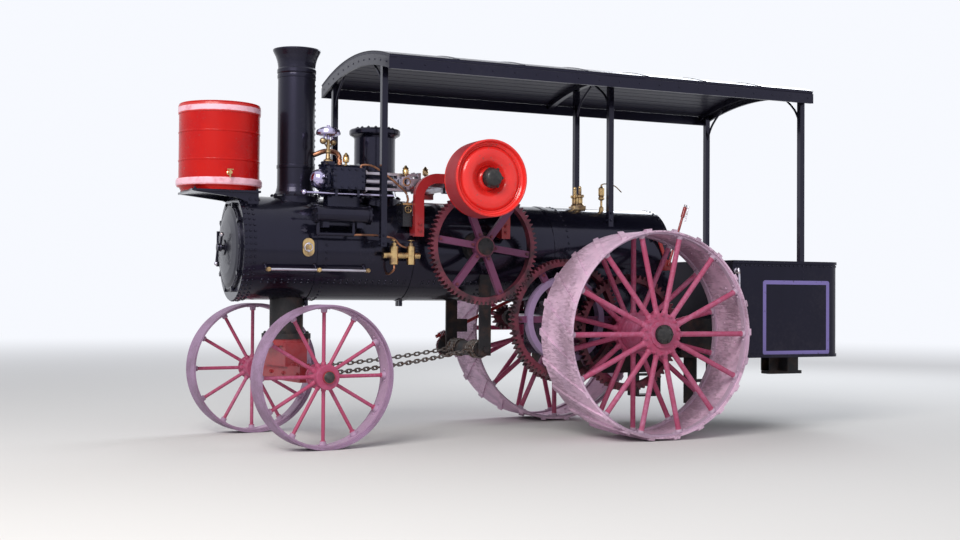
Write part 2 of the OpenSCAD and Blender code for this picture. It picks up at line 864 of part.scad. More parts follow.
module rear_wheel() {
    reach = rim_r - rim_t - seat;
    out_y = rear_y + rear_w;
    difference() {
        union() {
            bar_y(axle_c, 110, rear_y + 6, out_y - 6);
            bar_y(axle_c, 142, rear_y + 40, out_y - 40);
            for (y = [rear_y + 22, out_y - 74]) {
                bar_y(axle_c, 168, y, y + 52);
                for (i = [0 : rear_spokes - 1])
                    translate([0, y + 26, axle_z])
                        rotate([0, (i + (y > rear_y + 100 ? 0.5 : 0)) * 360 / rear_spokes, 0])
                            translate([0, 0, 150]) cylinder(h = reach - 156, r = 21);
            }
        }
        bar_y(axle_c, axle_r + play, rear_y - 20, out_y + 20);
    }
    // Angle rings that carry the rim
    difference() {
        for (y = [rear_y + 24, out_y - 72])
            bar_y(axle_c, reach, y, y + 48);
        for (y = [rear_y, out_y - 100])
            bar_y(axle_c, reach - 14, y, y + 100);
    }
}

module rear_wheel_left() {
    color("#b5434c") rear_wheel();
}

module rear_wheel_right() {
    color("#b5434c") mirror([0, 1, 0]) rear_wheel();
}

front_axle_c = [front_x, front_z];
front_rim_r = front_d / 2;

turntable_z = 790;

module front_pedestal() {
    color("#2a2d38")
        difference() {
            union() {
                translate([front_x, 0, turntable_z + 30])
                    cylinder(h = boiler_z - turntable_z - 30, r = 130);
                translate([front_x, 0, turntable_z]) cylinder(h = 40, r = 190);
            }
            boiler_space();
        }
}

// Turns a piece of the front axle about its pin, as it stands
module steered() {
    translate([front_x, 0, 0]) rotate([0, 0, steer_turn]) translate([-front_x, 0, 0]) children();
}

module front_axle() {
    color("#a8352c") steered() {
        translate([front_x, 0, turntable_z - seat - 50]) cylinder(h = 50, r = 180);
        translate([front_x - 70, -430, front_z - 60]) cube([140, 860, 120]);
        translate([front_x - 90, -200, front_z + 50])
            cube([180, 400, turntable_z - front_z - 80]);
        bar_y(front_axle_c, front_axle_d / 2, -front_y - 6, front_y + 6);
        for (s = [-1, 1])
            bar_y(front_axle_c, front_axle_d / 2 + 16, s * front_y - 7, s * front_y + 7);
    }
}

module front_rim() {
    difference() {
        bar_y(front_axle_c, front_rim_r, front_y - front_w, front_y);
        bar_y(front_axle_c, front_rim_r - 14, front_y - front_w - 1, front_y + 1);
    }
}

module front_rim_left() {
    color("#a9a4b2") steered() front_rim();
}

module front_rim_right() {
    color("#a9a4b2") steered() mirror([0, 1, 0]) front_rim();
}

module front_wheel() {
    mid = front_y - front_w / 2;
    reach = front_rim_r - 14 - seat;
    difference() {
        union() {
            bar_y(front_axle_c, 86, front_y - front_w - 20, front_y - 12);
            for (i = [0 : front_spokes - 1])
                translate([front_x, mid, front_z]) rotate([0, i * 360 / front_spokes, 0])
                    translate([0, 0, 78]) cylinder(h = reach - 84, r = 14);
        }
        bar_y(front_axle_c, front_axle_d / 2 + play, front_y - front_w - 40, front_y + 20);
    }
    difference() {
        bar_y(front_axle_c, reach, mid - 60, mid + 60);
        bar_y(front_axle_c, reach - 12, mid - 61, mid + 61);
    }
}

module front_wheel_left() {
    color("#b5434c") steered() front_wheel();
}

module front_wheel_right() {
    color("#b5434c") steered() mirror([0, 1, 0]) front_wheel();
}

roller_c = [1180, 700];
roller_r = 60;
worm_wheel_r = 90;
column_y = -436;
column_slope = 24;
column_r = 15;
worm_c = roller_c + polar(worm_wheel_r + 24, 90 - column_slope);
// Point on the steering column's line at a distance behind the worm
function column(d) = [worm_c[0] - d * cos(column_slope), column_y, worm_c[1] + d * sin(column_slope)];
column_len = 2210;

module steering_roller() {
    color("#3a3434") {
        bar_y(roller_c, roller_r, -290, 290);
        bar_y(roller_c, 24, -470, 380);
        bar_y(roller_c, worm_wheel_r, column_y - 22, column_y + 22);
    }
}

module steering_bracket() {
    color("#2a2524") {
        difference() {
            union() {
                for (s = [-1, 1]) mirror_left_right(s)
                    translate([roller_c[0] - 50, 330, roller_c[1] - 50])
                        cube([100, 24, boiler_z - roller_c[1] + 50]);
                translate([worm_c[0] - 190, column_y - 30, worm_c[1] + 20])
                    cube([40, 110, 110]);
                translate([worm_c[0] - 190, -350, worm_c[1] + 20])
                    cube([150, 20, 110]);
            }
            boiler_space();
            bar_y(roller_c, 24 + play, -500, 500);
            strut(column(-100), column(600), column_r + play);
        }
        // Bearing of the steering column on the firebox
        difference() {
            translate([firebox_rear + 20, column_y - 34, column(1880)[2] - 50])
                cube([50, -column_y + 34 - boiler_r * 0.9, 100]);
            strut(column(1500), column(2200), column_r + play);
            boiler_space();
        }
    }
}

// Point of the front axle, given as it is with the wheels straight, X from the axle's pin
function on_axle(p) = [
    front_x + p[0] * cos(steer_turn) - p[1] * sin(steer_turn),
    p[0] * sin(steer_turn) + p[1] * cos(steer_turn), p[2]
];
chain_r = 12;
function chain_end(s) = [roller_c[0] + roller_r + 14, s * 200, roller_c[1] - 10];
// Sine of the angle at which a chain leaves the axle's rear face
function chain_lean(s) =
    let (d = chain_end(s) - on_axle([-72, s * 400, front_z]))
    norm(cross(d, [cos(steer_turn), sin(steer_turn), 0])) / norm(d);
function chain_start(s) = on_axle([-70 - seat - chain_r * chain_lean(s), s * 400, front_z]);

module steering_chains() {
    color("#55504e")
        for (s = [-1, 1])
            strut(chain_start(s), chain_end(s), chain_r);
}

module steering_wheel() {
    color("#a8352c") {
        strut(column(-60), column(column_len), column_r);
        strut(column(-30), column(30), column_r + 7);
        translate(column(column_len)) rotate([0, -90 + column_slope, 0]) {
            rotate_extrude() translate([190, 0]) circle(r = 16);
            translate([0, 0, -20]) cylinder(h = 40, r = 34);
            for (i = [0 : 4])
                rotate(i * 72) translate([28, -8, -6]) cube([156, 16, 12]);
        }
    }
}

module footplate() {
    w = footplate_w / 2;
    color("#2b2726") {
        translate([-tender_front + seat, -w, tender_z])
            cube([firebox_rear + tender_front - 2 * seat, footplate_w, 30]);
        // Side plates and the steps below them
        for (s = [-1, 1]) mirror_left_right(s) {
            translate([-tender_front + seat, w - plate_t, tender_z])
                cube([firebox_rear + tender_front - 2 * seat, plate_t, 330]);
            for (z = [210, 400])
                translate([-tender_front + seat, w - 190, tender_z - z]) cube([240, 190, 14]);
            for (x = [0, 230])
                translate([-tender_front + seat + x, w - 190, tender_z - 400]) cube([10, 190, 400]);
        }
    }
}

corner_r = 130;

// Block from x0 to x1 with its two rear corners rounded
module rear_rounded(x0, x1, w, z, h, r) {
    translate([x0 + r, -w, z]) cube([x1 - x0 - r, 2 * w, h]);
    translate([x0, -w + r, z]) cube([r, 2 * w - 2 * r, h]);
    for (s = [-1, 1])
        translate([x0 + r, s * (w - r), z]) cylinder(h = h, r = r);
}

module tender() {
    w = tender_w / 2;
    x0 = -tender_front - tender_len;
    z1 = tender_z + tender_h;
    color("#15151b")
        difference() {
            union() {
                rear_rounded(x0, -tender_front, w, tender_z, tender_h, corner_r);
                // Beading round the top edge and an angle round the bottom
                rear_rounded(x0 - 10, -tender_front, w + 10, z1 - 24, 24, corner_r + 10);
                rear_rounded(x0 - 8, -tender_front, w + 8, tender_z, 26, corner_r + 8);
            }
            rear_rounded(x0 + plate_t, -tender_front - plate_t, w - plate_t, bunker_floor,
                tender_h, corner_r - plate_t);
        }
}

module drawbar() {
    x0 = -tender_front - tender_len;
    color("#332c2b")
        difference() {
            union() {
                translate([x0 - hitch_len, -60, drawbar_z]) cube([hitch_len + 260, 120, 30]);
                translate([x0 + 40, -200, drawbar_z + 30])
                    cube([120, 400, tender_z - drawbar_z - 30]);
                for (y = [-66, 54])
                    translate([x0 + 160, y, drawbar_z + 30])
                        cube([100, 12, tender_z - drawbar_z - 30]);
            }
            translate([x0 - hitch_len + 50, 0, drawbar_z - 30]) cylinder(h = 100, r = hitch_r);
        }
}

function roof_z(y) =
    let (w = canopy_w / 2, rr = (w * w + canopy_rise * canopy_rise) / (2 * canopy_rise))
    canopy_z + canopy_rise - rr + sqrt(rr * rr - y * y);

roof_steps = 24;
roof_ys = [for (i = [0 : roof_steps]) (i / roof_steps - 0.5) * canopy_w];

module canopy_roof() {
    color("#131318")
        translate([canopy_front - canopy_len, 0, 0]) rotate([90, 0, 90])
            linear_extrude(canopy_len)
                polygon(concat(
                    [for (y = roof_ys) [y, roof_z(y)]],
                    [for (i = [roof_steps : -1 : 0]) [roof_ys[i], roof_z(roof_ys[i]) - roof_t]]
                ));
}

bunker_floor = tender_z + tender_h - bunker_h;
tender_post_y = tender_w / 2 - plate_t - seat - post_t / 2;
// Each row of posts: X, sideways place and foot
post_places = [
    [canopy_front - 46, 600, 1500], [0, 300, boiler_z],
    [canopy_front - canopy_len + 46, tender_post_y, bunker_floor + seat]
];
rib_h = 44;
board_t = 18;

// Arch under a share k of the roof's width, between two depths below the roof's top
module roof_arch(x, t, d0, d1, k = 1) {
    ys = k * roof_ys;
    translate([x, 0, 0]) rotate([90, 0, 90]) linear_extrude(t)
        polygon(concat(
            [for (y = ys) [y, roof_z(y) - d0]],
            [for (i = [roof_steps : -1 : 0]) [ys[i], roof_z(ys[i]) - d1]]
        ));
}

module canopy_ribs() {
    color("#1a1a20")
        for (p = post_places)
            roof_arch(p[0] - post_t / 2, post_t, roof_t + seat, roof_t + rib_h,
                1 - 2 * (board_t + seat) / canopy_w);
}

// Boards round the roof's edge, the side ones between the end ones
module canopy_boards() {
    color("#1a1a22") {
        for (x = [canopy_front - board_t, canopy_front - canopy_len])
            roof_arch(x, board_t, roof_t + seat, roof_t + board_h);
        for (s = [-1, 1]) mirror_left_right(s)
            translate([canopy_front - canopy_len + board_t + seat, canopy_w / 2 - board_t,
                canopy_z - roof_t - board_h])
                cube([canopy_len - 2 * board_t - 2 * seat, board_t, board_h - seat]);
    }
}

module canopy_posts() {
    color("#1a1a20")
        difference() {
            for (p = post_places)
                for (s = [-1, 1]) mirror_left_right(s) {
                    y = p[1] - post_t / 2;
                    top = roof_z(p[1] + post_t / 2) - roof_t - rib_h - seat;
                    translate([p[0] - post_t / 2, y, p[2]]) cube([post_t, post_t, top - p[2]]);
                    // Arms from the boiler to the front posts
                    if (p[1] > boiler_r && p[0] > 0)
                        translate([p[0] - post_t / 2, boiler_r - 60, p[2]])
                            cube([post_t, y - seat - boiler_r + 60, post_t]);
                }
            boiler_space();
        }
}

stand_z = boiler_top + ring_t + seat;

module barrel_stand() {
    color("#23232a")
        difference() {
            union() {
                translate([barrel_x - 260, -260, stand_z]) cube([520, 520, 16]);
                for (s = [-1, 1])
                    slab(s * 220 - 12, s * 220 + 12)
                        polygon([
                            [barrel_x - 250, boiler_z + 150],
                            [smokebox_front - ring_len - 5, boiler_z + 150],
                            [smokebox_front - ring_len - 5, boiler_top - 60],
                            [smokebox_front + 20, boiler_top - 30],
                            [barrel_x + 250, stand_z], [barrel_x - 250, stand_z]
                        ]);
            }
            boiler_space();
        }
}

barrel_z = stand_z + 16;

module water_barrel() {
    r = barrel_d / 2;
    h = barrel_h;
    color("#c23a26")
        translate([barrel_x, 0, barrel_z]) {
            rotate_extrude()
                polygon([
                    [0, 0], [r - 18, 0], [r - 4, 26], [r, 30], [r, h], [r - 16, h],
                    [r - 16, h - 14], [0, h - 14]
                ]);
            translate([90, 0, h - 20]) cylinder(h = 30, r = 62);
            translate([90, 0, h + 8]) cylinder(h = 14, r = 20);
        }
}

// Rolled hoops as [height above the barrel's foot, width, how far it stands out]
hoops = [[31, 60, hoop_t], [barrel_h - 74, 66, 6]];

module barrel_hoops() {
    r = barrel_d / 2 + seat;
    color("#c9b7a4")
        translate([barrel_x, 0, barrel_z])
            for (h = hoops)
                translate([0, 0, h[0]]) rotate_extrude()
                    polygon([
                        [r, 0], [r + h[2] * 0.6, 0], [r + h[2] - seat, h[1] * 0.25],
                        [r + h[2] - seat, h[1] * 0.75], [r + h[2] * 0.6, h[1]], [r, h[1]]
                    ]);
}

// Box given as [x0, x1, y0, y1, z0, z1]; whoever calls it cuts the boiler's space from it
module on_boiler(b) {
    translate([b[0], b[2], b[4]]) cube([b[1] - b[0], b[3] - b[2], b[5] - b[4]]);
}

pump_y = boiler_r + 84;
pump_z = 1440;
pump_x = 1810;
gauge_z = 1700;

// Feed pump, lubricator, drain rod, oval covers and the gauges at the firebox's back
module fittings() {
    color("#a98948")
        difference() {
            union() {
                bar_x(pump_x, pump_x + 300, pump_y, pump_z, 24);
                for (x = [pump_x + 70, pump_x + 210]) {
                    translate([x, pump_y, pump_z - 70]) cylinder(h = 140, r = 34);
                    translate([x, pump_y, pump_z + 70]) cylinder(h = 26, r = 20);
                    on_boiler([x - 20, x + 20, boiler_r - 60, pump_y, pump_z - 20, pump_z + 20]);
                }
                on_boiler([lubricator_x, lubricator_x + 78, 306, 440, 1668, 1850]);
                for (s = [-1, 1]) mirror_left_right(s)
                    slab(boiler_r - 40, boiler_r + 12)
                        for (z = [-25, 25])
                            translate([smokebox_front - 490, boiler_z + z]) circle(r = cover_w / 2);
                for (s = [-1, 1]) mirror_left_right(s)
                    slab(boiler_r - 40, boiler_r + 12)
                        translate([smokebox_front - 490 - cover_w / 2, boiler_z - 25])
                            square([cover_w, 50]);
            }
            boiler_space();
        }
    color("#a98948") {
        // Polished boss on the cylinder's front cover
        difference() {
            translate([cylinder_front + 20, cylinder_y, crank_z]) sphere(r = 78, $fn = 48);
            bar_x(cylinder_front - 100, cylinder_front + 14 + seat, cylinder_y, crank_z, 100);
        }
        bar_x(drain_rod[0], drain_rod[0] + drain_rod_len, drain_rod[1], drain_rod[2], 9);
        translate([drain_rod[0] + drain_rod_len, drain_rod[1], drain_rod[2]])
            sphere(r = 22, $fn = 24);
        // Gauges at the firebox's back
        bar_x(firebox_rear - 60, firebox_rear - seat, 0, gauge_z, 70);
        bar_x(firebox_rear - 40, firebox_rear - seat, -170, gauge_z - 40, 16);
        bar_x(firebox_rear - 40, firebox_rear - seat, -170, gauge_z - 240, 16);
        translate([firebox_rear - 30, -170, gauge_z - 260]) cylinder(h = 240, r = 12);
        bar_x(firebox_rear - 50, firebox_rear - seat, 170, gauge_z - 90, 34);
        strut([firebox_rear - 44, 170, gauge_z - 90], [firebox_rear - 64, 40, gauge_z - 190], 9);
    }
}

rail_y = boiler_r + 22;

module handrails() {
    color("#8f8c92")
        difference() {
            for (s = [-1, 1]) mirror_left_right(s) {
                bar_x(smokebox_front - 970, smokebox_front - 170, rail_y, rail_z, 11);
                for (d = [180, 570, 960])
                    bar_y([smokebox_front - d, rail_z], 13, boiler_r - 60, rail_y + 12);
            }
            boiler_space();
        }
}

lever_y = boiler_r + 26;

// Reversing lever with its quadrant on the firebox's left side
module reversing_gear() {
    y0 = boiler_r + seat;
    x0 = firebox_rear;
    color("#8a2f26") {
        difference() {
            translate([x0 + 20, firebox_w / 2 + seat, 1360]) cube([90, 50, 90]);
            boiler_space();
        }
        strut([x0 + 50, lever_y + 10, 1400], [x0 - 110, lever_y + 10, 1880], 11);
        strut([x0 - 90, lever_y + 10, 1820], [x0 - 118, lever_y + 10, 1904], 17);
        slab(y0 + 6, y0 + 18)
            difference() {
                translate([x0 + 40, 1360]) circle(r = 330);
                translate([x0 + 40, 1360]) circle(r = 290);
                translate([x0 - 400, 900]) square([1000, 640]);
                translate([x0 + 180, 1400]) square([400, 400]);
            }
        slab(y0 + 6, y0 + 18)
            polygon([[x0 + 30, 1400], [x0 + 60, 1400], [x0 + 160, 1666], [x0 + 130, 1666]]);
    }
}

placed() boiler();
placed() firebox();
placed() ash_pan();
placed() smokebox_door();
placed() fire_door();
placed() chimney();
placed() dome();
placed() safety_valve();
placed() cylinder_block();  // cylinder
placed() guide_bars();
placed() crosshead();
placed() connecting_rod();
placed() crankshaft();
placed() crank_webs();
placed() belt_pulley();
placed() crank_pinion();
placed() pedestal_left();
placed() pedestal_right();
placed() feed_heater();
placed() idler_bracket();
placed() idler_rim();
placed() idler_wheel();
placed() axle_brackets();
placed() shaft_bearings();
placed() countershaft();
placed() pinion_left();
placed() pinion_right();
placed() diff_rim();
placed() diff_wheel();
placed() rear_rim_left();
placed() rear_rim_right();
placed() rear_wheel_left();
placed() rear_wheel_right();
placed() bull_gear_left();
placed() bull_gear_right();
placed() front_pedestal();
placed() front_axle();
placed() front_rim_left();
placed() front_rim_right();
placed() front_wheel_left();
placed() front_wheel_right();
placed() steering_roller();
placed() steering_chains();
placed() steering_wheel();
placed() steering_bracket();
placed() footplate();
placed() tender();
placed() drawbar();
placed() canopy_roof();
placed() canopy_ribs();
placed() canopy_posts();
placed() canopy_boards();
placed() barrel_stand();
placed() water_barrel();
placed() barrel_hoops();
placed() governor();
placed() fittings();
placed() handrails();
placed() reversing_gear();
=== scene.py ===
import math
import bpy
import bmesh
import numpy as np
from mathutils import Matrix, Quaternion, Vector


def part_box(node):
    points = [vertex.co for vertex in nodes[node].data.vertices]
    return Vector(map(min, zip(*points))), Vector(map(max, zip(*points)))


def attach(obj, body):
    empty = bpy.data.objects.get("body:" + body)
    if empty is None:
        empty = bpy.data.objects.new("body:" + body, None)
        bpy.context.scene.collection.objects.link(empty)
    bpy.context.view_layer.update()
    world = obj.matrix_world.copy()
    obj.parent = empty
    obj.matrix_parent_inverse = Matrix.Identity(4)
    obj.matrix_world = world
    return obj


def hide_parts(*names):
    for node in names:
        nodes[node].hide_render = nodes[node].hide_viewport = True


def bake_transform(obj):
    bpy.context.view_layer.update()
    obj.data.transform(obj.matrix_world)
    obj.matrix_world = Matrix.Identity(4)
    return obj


# The engine as packed: every casting, plate and shaft in its place, in metres. Its drawings count
# X from the rear axle, so at() turns such a point, in millimetres, into the frame's own metres.
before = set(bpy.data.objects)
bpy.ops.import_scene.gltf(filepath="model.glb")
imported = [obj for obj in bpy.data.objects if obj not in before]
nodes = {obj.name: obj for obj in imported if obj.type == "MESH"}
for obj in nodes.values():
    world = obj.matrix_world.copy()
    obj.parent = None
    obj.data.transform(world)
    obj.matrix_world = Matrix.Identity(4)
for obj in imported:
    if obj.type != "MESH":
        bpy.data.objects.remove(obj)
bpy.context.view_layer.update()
REAR_AXLE_X = float((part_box("rear_wheel_left")[0].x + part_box("rear_wheel_left")[1].x) / 2)
X, Y, Z = np.eye(3)


def at(x, y, z):
    """Points in millimetres, X from the rear axle, as an array of points in metres."""
    x, y, z = np.broadcast_arrays(np.asarray(x, float), y, z)
    return np.stack([x / 1000 + REAR_AXLE_X, y / 1000, z / 1000], -1)


# The view: a long lens about ten metres off the engine's left front, held at waist height, as the
# photograph was taken.
VIEW_FROM = at(5569, 9873, 1132)
VIEW_YAW, VIEW_PITCH, VIEW_ROLL = map(math.radians, (24.5, 1.14, 0.4))
FOCAL_PIXELS, FRAME_PIXELS, SENSOR_WIDTH = 1300, 960, 36
view_dir = Vector((-math.sin(VIEW_YAW) * math.cos(VIEW_PITCH),
                   -math.cos(VIEW_YAW) * math.cos(VIEW_PITCH), math.sin(VIEW_PITCH)))
camera = bpy.data.objects.new("camera", bpy.data.cameras.new("camera"))
bpy.context.scene.collection.objects.link(camera)
camera.data.sensor_width = SENSOR_WIDTH
camera.data.lens = FOCAL_PIXELS / FRAME_PIXELS * SENSOR_WIDTH
camera.data.clip_end = 200
camera.location = VIEW_FROM
camera.rotation_mode = "QUATERNION"
camera.rotation_quaternion = view_dir.to_track_quat("-Z", "Y") @ Quaternion((0, 0, 1), VIEW_ROLL)
bpy.context.scene.camera = camera
bpy.context.scene.view_settings.view_transform = "Standard"


# The studio: a pale floor that runs up into a white room, a broad soft lamp over the engine's
# left front, where the sun stands in the photograph, and a weaker one behind it.
class Socket:
    """An output of a node. Sums, products and the like of it add Math nodes."""

    def __init__(self, graph, out):
        self.graph, self.out = graph, out

    def maths(operation, swapped=False):
        """A method that puts this value and another, or the two swapped, through a Math node."""
        def method(self, other):
            first, second = (other, self) if swapped else (self, other)
            return self.graph.node("ShaderNodeMath", {0: first, 1: second}, operation=operation)[0]
        return method

    __add__, __radd__ = maths("ADD"), maths("ADD", True)
    __sub__, __rsub__ = maths("SUBTRACT"), maths("SUBTRACT", True)
    __mul__, __pow__ = maths("MULTIPLY"), maths("POWER")
    __gt__, __lt__ = maths("GREATER_THAN"), maths("LESS_THAN")
    max, min = maths("MAXIMUM"), maths("MINIMUM")

    def step(self, low, high):
        """This value taken from 0 at low to 1 at high, smoothly."""
        return self.graph.node("ShaderNodeMapRange", {0: self, 1: low, 2: high, 3: 0.0, 4: 1.0},
                               interpolation_type="SMOOTHSTEP")[0]

    def mix(self, a, b):
        """Colour a where this value is 0, colour b where it is 1."""
        a, b = ((*c, 1) if isinstance(c, tuple) else c for c in (a, b))
        return self.graph.node("ShaderNodeMix", {0: self, 6: a, 7: b}, data_type="RGBA")["Result"]


class Graph:
    """A tree of shader nodes."""

    def __init__(self, tree):
        self.tree = tree

    def node(self, kind, inputs={}, **settings):
        """Adds a node, sets or links its sockets, and gives its outputs by name and number."""
        made = self.tree.nodes.new(kind)
        for key, value in settings.items():
            setattr(made, key, value)
        for key, value in inputs.items():
            if isinstance(value, Socket):
                self.tree.links.new(value.out, made.inputs[key])
            else:
                made.inputs[key].default_value = value
        outs = [Socket(self, o) for o in made.outputs if o.enabled]
        return {**{s.out.name: s for s in outs}, **dict(enumerate(outs))}

    def directly_seen(self):
        """1 for a ray from the camera, mirrored or let through on its way or not, else 0."""
        path = self.node("ShaderNodeLightPath")
        return path["Is Camera Ray"].max(path["Is Glossy Ray"]).max(path["Is Transmission Ray"])


class Finish(Graph):
    """One finish of the engine: a material whose constants sit on the shader's own sockets. Its slot is
    kept but not used."""

    def __init__(self, name, slot=None, **constants):
        self.slot = slot
        self.material = bpy.data.materials.new(name)
        self.material.use_nodes = True
        super().__init__(self.material.node_tree)
        self.shader = self.tree.nodes["Principled BSDF"]
        for socket, value in constants.items():
            self.shader.inputs[socket.replace("_", " ")].default_value = (
                (*value, 1) if isinstance(value, tuple) else value)
        self.place = self.node("ShaderNodeTexCoord")["Object"]
        split = self.node("ShaderNodeSeparateXYZ", {0: self.place})
        self.x, self.y, self.z = split[0], split[1], split[2]

    def noise(self, scale, detail=4.0, stretch=(1, 1, 1)):
        """Cloudy value from 0 to 1, with about scale clouds a metre, drawn out by stretch."""
        spot = self.node("ShaderNodeMapping", {"Vector": self.place, "Scale": stretch})[0]
        return self.node("ShaderNodeTexNoise", {
            "Vector": spot, "Scale": scale, "Detail": detail, "Roughness": 0.55})[0]

    def reach(self, x=None, y=None, z=None):
        """Distance in metres from a point, or from a line along a direction that is left out."""
        gaps = [own - c for own, c in ((self.x, x), (self.y, y), (self.z, z)) if c is not None]
        squares = [g * g for g in gaps]
        return sum(squares[1:], squares[0]) ** 0.5

    def wear(self, bump=None, **links):
        """Links what varies to the shader; bump is a height, its strength and its distance."""
        for socket, value in links.items():
            self.tree.links.new(value.out, self.shader.inputs[socket.replace("_", " ")])
        if bump:
            height, strength, distance = bump
            normal = self.node("ShaderNodeBump", {
                "Strength": strength, "Distance": distance, "Height": height})[0]
            self.tree.links.new(normal.out, self.shader.inputs["Normal"])
        return self


def grid_faces(rows, columns, close_rows=False, close_columns=False):
    """Quads of a grid of points stored row by row, either way closed on itself."""
    i = np.arange(rows if close_rows else rows - 1)[:, None]
    j = np.arange(columns if close_columns else columns - 1)[None, :]
    i2, j2 = (i + 1) % rows, (j + 1) % columns
    quads = np.stack(np.broadcast_arrays(
        i * columns + j, i * columns + j2, i2 * columns + j2, i2 * columns + j), -1)
    return quads.reshape(-1, 4)


def joined(shapes):
    """Several shapes, each of points and faces, as one."""
    points, faces, count = [], [], 0
    for p, f in shapes:
        points.append(p)
        faces += [tuple(int(i) + count for i in face) for face in f]
        count += len(p)
    return np.concatenate(points), faces


def piece(name, shape, finish, body="chassis", smooth=40, outwards=True):
    """A mesh object of one shape or a list of them, its points in metres, closed where they meet, riding
    on a body, in its finish's material. Edges sharper than smooth degrees stay crisp."""
    points, faces = joined(shape) if isinstance(shape, list) else shape
    mesh = bpy.data.meshes.new(name)
    mesh.from_pydata(np.asarray(points, float).reshape(-1, 3).tolist(), [],
                     [list(map(int, f)) for f in faces])
    form = bmesh.new()
    form.from_mesh(mesh)
    bmesh.ops.remove_doubles(form, verts=form.verts, dist=2e-6)
    if outwards:
        bmesh.ops.recalc_face_normals(form, faces=form.faces)
    if smooth is not None:
        limit = math.radians(smooth)
        for face in form.faces:
            face.smooth = True
        for edge in form.edges:
            edge.smooth = len(edge.link_faces) == 2 and edge.calc_face_angle(0) < limit
    form.to_mesh(mesh)
    form.free()
    mesh.materials.append(finish.material)
    made = bpy.data.objects.new(name, mesh)
    bpy.context.scene.collection.objects.link(made)
    if body:
        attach(made, body)
    return made


ROOM_WHITE = (0.93, 0.95, 1.0, 1)
# Seen directly or in a reflection, the floor goes over to the room's white from 4.5 to 26 m away
studio_floor = Finish("studio_floor", Roughness=0.9, Specular_IOR_Level=0.1,
                      Base_Color=(0.74, 0.73, 0.72))
away = (studio_floor.x * studio_floor.x + studio_floor.y * studio_floor.y) ** 0.5
glow = studio_floor.node("ShaderNodeEmission", {"Color": ROOM_WHITE, "Strength": 1.0})[0]
faded = studio_floor.node("ShaderNodeMixShader", {
    0: away.step(4.5, 26.0) * studio_floor.directly_seen(),
    1: Socket(studio_floor, studio_floor.shader.outputs[0]), 2: glow})[0]
studio_floor.tree.links.new(faded.out, studio_floor.tree.nodes["Material Output"].inputs[0])
FLOOR_LINES, FLOOR_REACH, FLOOR_Z = 25, 90, -0.001
s, t = np.meshgrid(*[np.linspace(-1, 1, FLOOR_LINES)] * 2, indexing="ij")
floor = piece("floor", (np.stack([s * FLOOR_REACH, t * FLOOR_REACH, 0 * s + FLOOR_Z], -1),
                        grid_faces(FLOOR_LINES, FLOOR_LINES)[:, ::-1]),
              studio_floor, None, None, outwards=False)
world = bpy.data.worlds.new("room")
bpy.context.scene.world = world
world.use_nodes = True
# The room gives a little more than half of its white as light, and all of it where it is seen
LIGHT_SHARE = 0.55
room = Graph(world.node_tree)
shown = room.node("ShaderNodeMath", {0: room.directly_seen(), 1: 1 - LIGHT_SHARE, 2: LIGHT_SHARE},
                  operation="MULTIPLY_ADD")[0]
background = room.tree.nodes["Background"]
background.inputs["Color"].default_value = ROOM_WHITE
room.tree.links.new(shown.out, background.inputs["Strength"])
LAMPS_AIM = Vector((0, 0, 1.2))
for name, spot, size, power, tint in (
        ("key_lamp", (7.5, 7.0, 7.5), (6, 4), 900, (1.0, 0.97, 0.93)),
        ("far_lamp", (-8.0, -6.0, 6.5), (6, 4), 420, (0.9, 0.95, 1.0))):
    lamp = bpy.data.lights.new(name, "AREA")
    lamp.shape, lamp.size, lamp.size_y = "RECTANGLE", *size
    lamp.energy, lamp.color = power, tint
    lamp_at = bpy.data.objects.new(name, lamp)
    bpy.context.scene.collection.objects.link(lamp_at)
    lamp_at.location = spot
    lamp_at.rotation_mode = "QUATERNION"
    lamp_at.rotation_quaternion = (LAMPS_AIM - Vector(spot)).to_track_quat("-Z", "Y")


def dress(finish, *names):
    """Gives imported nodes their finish."""
    for n in names:
        nodes[n].data.materials.clear()
        nodes[n].data.materials.append(finish.material)


# Boiler barrel and smokebox: rolled plate, lagged and clad in sheet iron under clamped bands,
# enamelled black and kept polished, with road dust low down. The smokebox's ring is riveted on.
# The sky tint turns the black enamels' reflections of the white room blue-violet: a painted sky reflection
PAINTED_SKY_TINT, CLEAR_GLINT, GREY_DUST = (0.62, 0.58, 1.0), (1.0, 1.0, 1.0), (0.075, 0.065, 0.075)


def enamel(name, colour, dust=GREY_DUST, shine=0.16, dusty=0.26, coat=0.26, glint=PAINTED_SKY_TINT,
           slot="black_paint"):
    """Brushed gloss enamel: cloudy tone, thin dust below axle height, faint ripples. Its glint tints what
    it mirrors; the default sky tint is a painted reflection, a blue-violet sky in the highlights."""
    f = Finish(name, slot, Coat_Weight=coat, Coat_Roughness=0.08, Specular_IOR_Level=0.32,
               Specular_Tint=glint)
    cloud, fine = f.noise(2.3, 6), f.noise(38, 4)
    streak = f.noise(11, 3, (1, 1, 0.12))
    low = (1.35 - f.z).step(0.0, 1.3)
    film = (cloud * 0.6 + fine * 0.4 + low * 0.28).step(0.5, 0.95) * dusty
    tone = (streak.step(0.35, 0.75) * 0.5).mix(colour, tuple(c * 0.62 for c in colour))
    return f.wear(Base_Color=film.mix(tone, dust), Roughness=shine + film * 0.5 + fine * 0.06,
                  bump=(f.noise(26, 2) * 0.6 + fine * 0.15, 0.10, 0.004))


def around(count, start=0.0):
    """Angles of count places evenly round a circle."""
    return start + np.arange(count) * 2 * np.pi / count


def frames_of(outward):
    """For each outward direction, it and two directions square to it."""
    out = outward / np.linalg.norm(outward, axis=-1, keepdims=True)
    guide = np.where(np.abs(out[..., 2:]) < 0.9, Z, X)
    across = np.cross(guide, out)
    across /= np.linalg.norm(across, axis=-1, keepdims=True)
    return np.stack([out, across, np.cross(out, across)])


